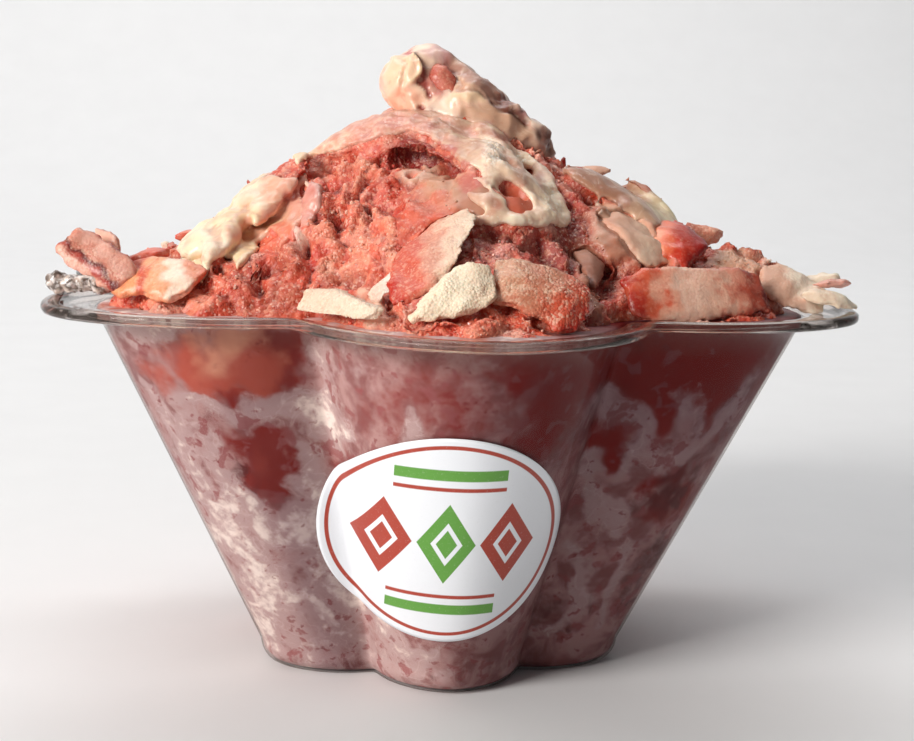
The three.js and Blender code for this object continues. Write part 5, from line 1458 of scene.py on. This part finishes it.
def make_loose(heap, materials):
    """Crumbs that lie on the rough places and take the colour of the ice under them."""
    v, f, covers, tint, rough = heap
    tri = halved(f)
    ground = BVHTree.FromPolygons(v.tolist(), tri.tolist())
    rng = np.random.default_rng(19)
    for name, slot, count, least, more, bright in LOOSE_KINDS:
        def exposed(points, unit):
            crowd = noise(points, 6.0, 651) + rng.uniform(-0.35, 0.35, len(points))
            upward = (points[:, 2] > CRUMB_FLOOR) & (unit[:, 2] > 0.1)
            return upward & (distance_to(covers, points) > 0.4) & (crowd > -0.1)

        places, unit = scatter(v, tri, count, rng, exposed)
        face = np.array([ground.find_nearest(Vector(p))[2] for p in places])
        corner = tri[face][:, 0]
        sizes = (least + more * rng.uniform(size=len(places)) ** 2) * (0.4 + 0.6 * rough[corner])
        mesh_v, mesh_f = grains(places + unit * (0.35 * sizes)[:, None], sizes, rng)
        own = tint[corner] * (bright * rng.uniform(0.8, 1.25, len(places)))[:, None]
        own = lay(own, "milk", 0.5 * (rng.uniform(size=len(places)) > 0.8))
        piece = make_object(name, mesh_v, mesh_f, materials[slot],
                            {"tint": np.repeat(own, len(GRAIN_V), axis=0)}, {"frost": 0.5}, False)
        hand_over(piece, slot)


SHARD_ACROSS, SHARD_ALONG = 9, 6
FRUIT_PALETTE = [
    ((240, 176, 150), (224, 112, 86), (186, 48, 34)), ((214, 92, 70), (196, 60, 44), (150, 30, 22)),
    ((244, 206, 184), (232, 150, 124), (206, 84, 64)), ((226, 140, 120), (206, 104, 88), (170, 52, 42)),
]
FROZEN_PALETTE = [
    ((244, 226, 198), (240, 214, 184), (228, 180, 152)), ((236, 196, 176), (228, 176, 152), (206, 130, 108)),
    ((248, 234, 214), (236, 206, 184), (224, 164, 142)),
]


def make_shards(heap, name, slot, count, least, more, palette, salt, material):
    """Thin broken leaves of fruit or frozen milk, bent and half sunk in the ice on the heap's back."""
    v, f, covers, _, _ = heap
    tri = halved(f)
    rng = np.random.default_rng(salt)

    def behind(points, unit):
        upward = (points[:, 2] > SHARD_FLOOR) & (unit[:, 2] > 0.1) & (points[:, 1] > 0)
        return upward & (distance_to(covers, points) > 1.2) & (cream_depth(points) < -1.2)

    places, unit = scatter(v, tri, count, rng, behind)
    flat_x, flat_y = (part.ravel() for part in disc(SHARD_ACROSS, SHARD_ALONG))
    turn, out = np.arctan2(flat_y, flat_x), np.hypot(flat_x, flat_y)
    plate = plate_faces(SHARD_ACROSS, SHARD_ALONG)
    all_v, all_f, all_tint = [], [], []
    for number, (place, normal) in enumerate(zip(places, unit)):
        length = least + more * rng.uniform() ** 1.7
        width, thick = length * rng.uniform(0.35, 0.75), rng.uniform(0.28, 0.5)
        wobble = 1 + out * sum(
            rng.uniform(-0.16, 0.16) * np.cos(k * turn + rng.uniform(0, 6.3)) for k in (2, 3, 4, 5, 7))
        x, y = flat_x * wobble * length, flat_y * wobble * width
        bend = rng.uniform(-0.06, 0.12) * x * x + rng.uniform(-0.05, 0.05) * y * y
        bend = bend + 0.25 * np.sin(x * 1.3 + y)
        rise = thick * (1 - 0.55 * out ** 4)
        local = np.concatenate([np.stack([x, y, bend - rise], 1), np.stack([x, y, bend + rise], 1)])
        away = np.array([normal[0], normal[1], 0.15])
        tilted = normal + away * rng.uniform(-0.2, 0.9) + rng.normal(size=3) * 0.35
        up = tilted / np.linalg.norm(tilted)
        side = np.cross(up, rng.normal(size=3))
        side /= np.linalg.norm(side)
        axes = np.stack([side, np.cross(up, side), up])
        all_v.append(local @ axes + place + normal * rng.uniform(-0.35, 0.45) * width)
        all_f.append(plate + number * len(local))
        inner, outer, skin = (srgb(*c) for c in palette[rng.integers(len(palette))])
        tone = blend(inner, outer, smooth(local[:, 0] / length, -0.6, 0.7))
        edge = np.concatenate([out, out]) + 0.25 * local[:, 1] / width
        tone = blend(tone, skin, 0.8 * smooth(edge, 0.85, 1.15))
        all_tint.append(tone * rng.uniform(0.85, 1.08))
    piece = make_object(name, np.concatenate(all_v), np.concatenate(all_f), material,
                        {"tint": np.concatenate(all_tint)}, {"frost": 0.45})
    hand_over(piece, slot)


def make_clump(material):
    """The small clump of clear grains on the flange."""
    v, f = remesh(*cad("ice_clump_rim"), 0.42)
    v = relax(v, f, 2)
    n = normals(v, f)
    v = v + n * (0.5 * noise(v, 1.8, 3) + 0.25 * noise(v, 0.9, 4))[:, None]
    tint = blend(srgb(92, 78, 70), srgb(206, 188, 176), smooth(noise(v, 1.5, 8), -0.3, 0.5))
    piece = make_object("ice_clump", v, f, material, {"tint": tint})
    hand_over(piece, "clear_ice", "ice_clump_rim")


LABEL_X, LABEL_Z, LABEL_WIDTH, LABEL_HEIGHT = -4.0, 35.0, 46.0, 44.0
LABEL_OUT, LABEL_THICK = 0.04, 0.22
LABEL_LEAN = 0.85            # a step off the leaning wall, as a share of that step along the radius
LABEL_STEPS, LABEL_ROUNDS = 56, 14
RHOMB_STEP, RHOMB_WIDE, RHOMB_TALL, BAR_REACH = 11.4, 5.3, 8.6, 10.0


def label_material():
    """Coated paper with a plain printed pattern: three nested rhombi between bars, in a ring."""
    g = Graph("label_paper")
    x, z = g.attribute("plan_x", "Fac"), g.attribute("plan_z", "Fac")

    def band(value, low, high, soft=0.12):
        """One between low and high, with a soft step at either side."""
        rise = g.ramp(value, low - soft, low + soft)
        fall = g.ramp(value, high - soft, high + soft)
        return g.math("SUBTRACT", rise, fall, True)

    red, green, white = srgb(172, 62, 44), srgb(96, 156, 62), srgb(236, 239, 244)
    edge = g.attribute("edge", "Fac")
    height = g.size(z)
    number = g.math("FLOOR", g.plus(g.math("DIVIDE", x, RHOMB_STEP), 0.5))
    aside = g.size(g.math("SUBTRACT", x, g.times(number, RHOMB_STEP)))
    among = g.math("LESS_THAN", g.size(number), 1.5)
    ink = g.mix(red, green, g.math("LESS_THAN", g.size(number), 0.5))
    reach = g.plus(g.math("DIVIDE", aside, RHOMB_WIDE), g.math("DIVIDE", height, RHOMB_TALL))
    colour = g.mix(white, ink, g.times(band(reach, -1, 0.36, 0.012), among))
    colour = g.mix(colour, ink, g.times(band(reach, 0.54, 1.0, 0.012), among))
    # a thin bar and a thick one above and below, then the ring
    thick = g.times(band(height, 13.4, 15.6), g.ramp(edge, 0.83, 0.84, 1, 0))
    bars = g.math("MAXIMUM", band(height, 11.2, 12.0), thick)
    bars = g.times(bars, g.math("LESS_THAN", g.size(x), BAR_REACH))
    colour = g.mix(colour, g.mix(red, green, g.math("GREATER_THAN", height, 12.8)), bars)
    colour = g.mix(colour, red, band(edge, 0.9, 0.935, 0.004))
    fibres = g.noise(g.place(), 0.5, 3.0, 0.7)
    colour = g.over(colour, (214, 214, 214), fibres, 0.55, 0.8, 0, 0.25)
    return g.surface(g.principled(
        colour, g.bump(fibres, 0.05, 0.4), Roughness=g.ramp(fibres, 0.3, 0.7, 0.32, 0.5)))


def make_label():
    """An oval of paper that follows the front petal, with its pattern's coordinates."""
    disc_x, disc_z = disc(LABEL_STEPS, LABEL_STEPS)
    plan_x, plan_z = disc_x * LABEL_WIDTH / 2, disc_z * LABEL_HEIGHT / 2
    x, z = LABEL_X + plan_x, LABEL_Z + plan_z
    angle = np.full_like(x, -math.pi / 2)
    for _ in range(LABEL_ROUNDS):
        angle = -math.pi / 2 + np.arcsin(x / petal_radius(angle, wall_tip(z)))
    layers = []
    for out in (LABEL_OUT, LABEL_OUT + LABEL_THICK):
        radius = petal_radius(angle, wall_tip(z)) + out / LABEL_LEAN
        layers.append(np.stack([radius * np.cos(angle), radius * np.sin(angle), z], -1).reshape(-1, 3))
    plan = {"plan_x": plan_x, "plan_z": plan_z}
    plan["edge"] = np.hypot(plan_x / (LABEL_WIDTH / 2), plan_z / (LABEL_HEIGHT / 2))
    values = {key: np.tile(value.ravel(), 2) for key, value in plan.items()}
    v, f = np.concatenate(layers), plate_faces(LABEL_STEPS, LABEL_STEPS)
    label = make_object("label_printed", v, f, label_material(), None, values)
    hand_over(label, "label_paper", "label")


# ---- Floor and light ----


# The sheet's front end, where it starts to bend, the bend's radius and steps, its top and half width, in m.
STAGE_FRONT, STAGE_BACK, STAGE_BEND, BEND_STEPS = -1.6, 0.9, 0.5, 12
STAGE_TOP, STAGE_WIDE = 2.4, 2.6


def make_stage():
    """A pale sheet that runs along the floor and bends up behind."""
    profile = [(STAGE_FRONT, 0.0), (STAGE_BACK, 0.0)]
    for k in range(1, BEND_STEPS + 1):
        turn = math.pi / 2 * k / BEND_STEPS
        profile.append((STAGE_BACK + STAGE_BEND * math.sin(turn), STAGE_BEND - STAGE_BEND * math.cos(turn)))
    profile.append((STAGE_BACK + STAGE_BEND, STAGE_TOP))
    v, f = [], []
    for y, z in profile:
        v += [(-STAGE_WIDE, y, z), (STAGE_WIDE, y, z)]
    for k in range(len(profile) - 1):
        f.append((2 * k, 2 * k + 1, 2 * k + 3, 2 * k + 2))
    g = Graph("backdrop")
    paper = g.noise(g.place(), 30.0, 2.0)
    material = g.surface(g.principled(g.mix((0.86, 0.86, 0.865), (0.82, 0.82, 0.825), paper), Roughness=0.9))
    stage = make_object("backdrop", np.array(v) / MM, np.array(f), material)


def area_light(name, place, target, size, power, colour):
    """A rectangular light at a place, turned to its target."""
    data = bpy.data.lights.new(name, "AREA")
    data.shape = "RECTANGLE"
    data.size, data.size_y = size
    data.energy = power
    data.color = colour
    light = linked(name, data)
    light.location = place
    way = Vector(target) - Vector(place)
    light.rotation_euler = way.to_track_quat("-Z", "Y").to_euler()


def make_light():
    """A warm key light from the left, a soft one from above, and light on the backdrop."""
    area_light("key", (-1.0, -0.78, 0.56), (0, 0, 0.07), (0.45, 0.45), 19.0, (1.0, 0.97, 0.93))
    area_light("top", (-0.25, 0.1, 1.3), (0, 0, 0.05), (0.9, 0.9), 2.2, (1.0, 0.985, 0.97))
    area_light("backdrop_light", (0, 0.55, 1.6), (0, 1.3, 0.3), (1.6, 0.4), 16.0, (1, 1, 1))
    world = bpy.data.worlds.new("studio")
    bpy.context.scene.world = world
    world.use_nodes = True
    sky = world.node_tree.nodes["Background"]
    sky.inputs["Color"].default_value = (0.93, 0.96, 1.0, 1)
    sky.inputs["Strength"].default_value = 0.09
    bpy.context.scene.view_settings.view_transform = "Standard"


# ---- Assembly ----

make_stage()
make_light()
make_bowl()
make_fill()
make_label()
LOOK_MATERIALS = {
    FRUIT: fruit_material(),
    FROZEN: frozen_material(),
    CREAM: cream_material(),
    "shaved_ice": ice_material(),
    "clear_ice": crystal_material(),
}
for number, node_name in enumerate(LOOKS):
    make_topping(node_name, 200 + 20 * number, LOOK_MATERIALS)
make_head(LOOK_MATERIALS[CREAM])
heap = make_heap(LOOK_MATERIALS)
make_loose(heap, LOOK_MATERIALS)
make_shards(heap, "fruit_shards", FRUIT, 90, 1.4, 2.8, FRUIT_PALETTE, 31, LOOK_MATERIALS[FRUIT])
make_shards(heap, "frozen_shards", FROZEN, 60, 1.2, 2.4, FROZEN_PALETTE, 37, LOOK_MATERIALS[FROZEN])
make_clump(LOOK_MATERIALS["clear_ice"])
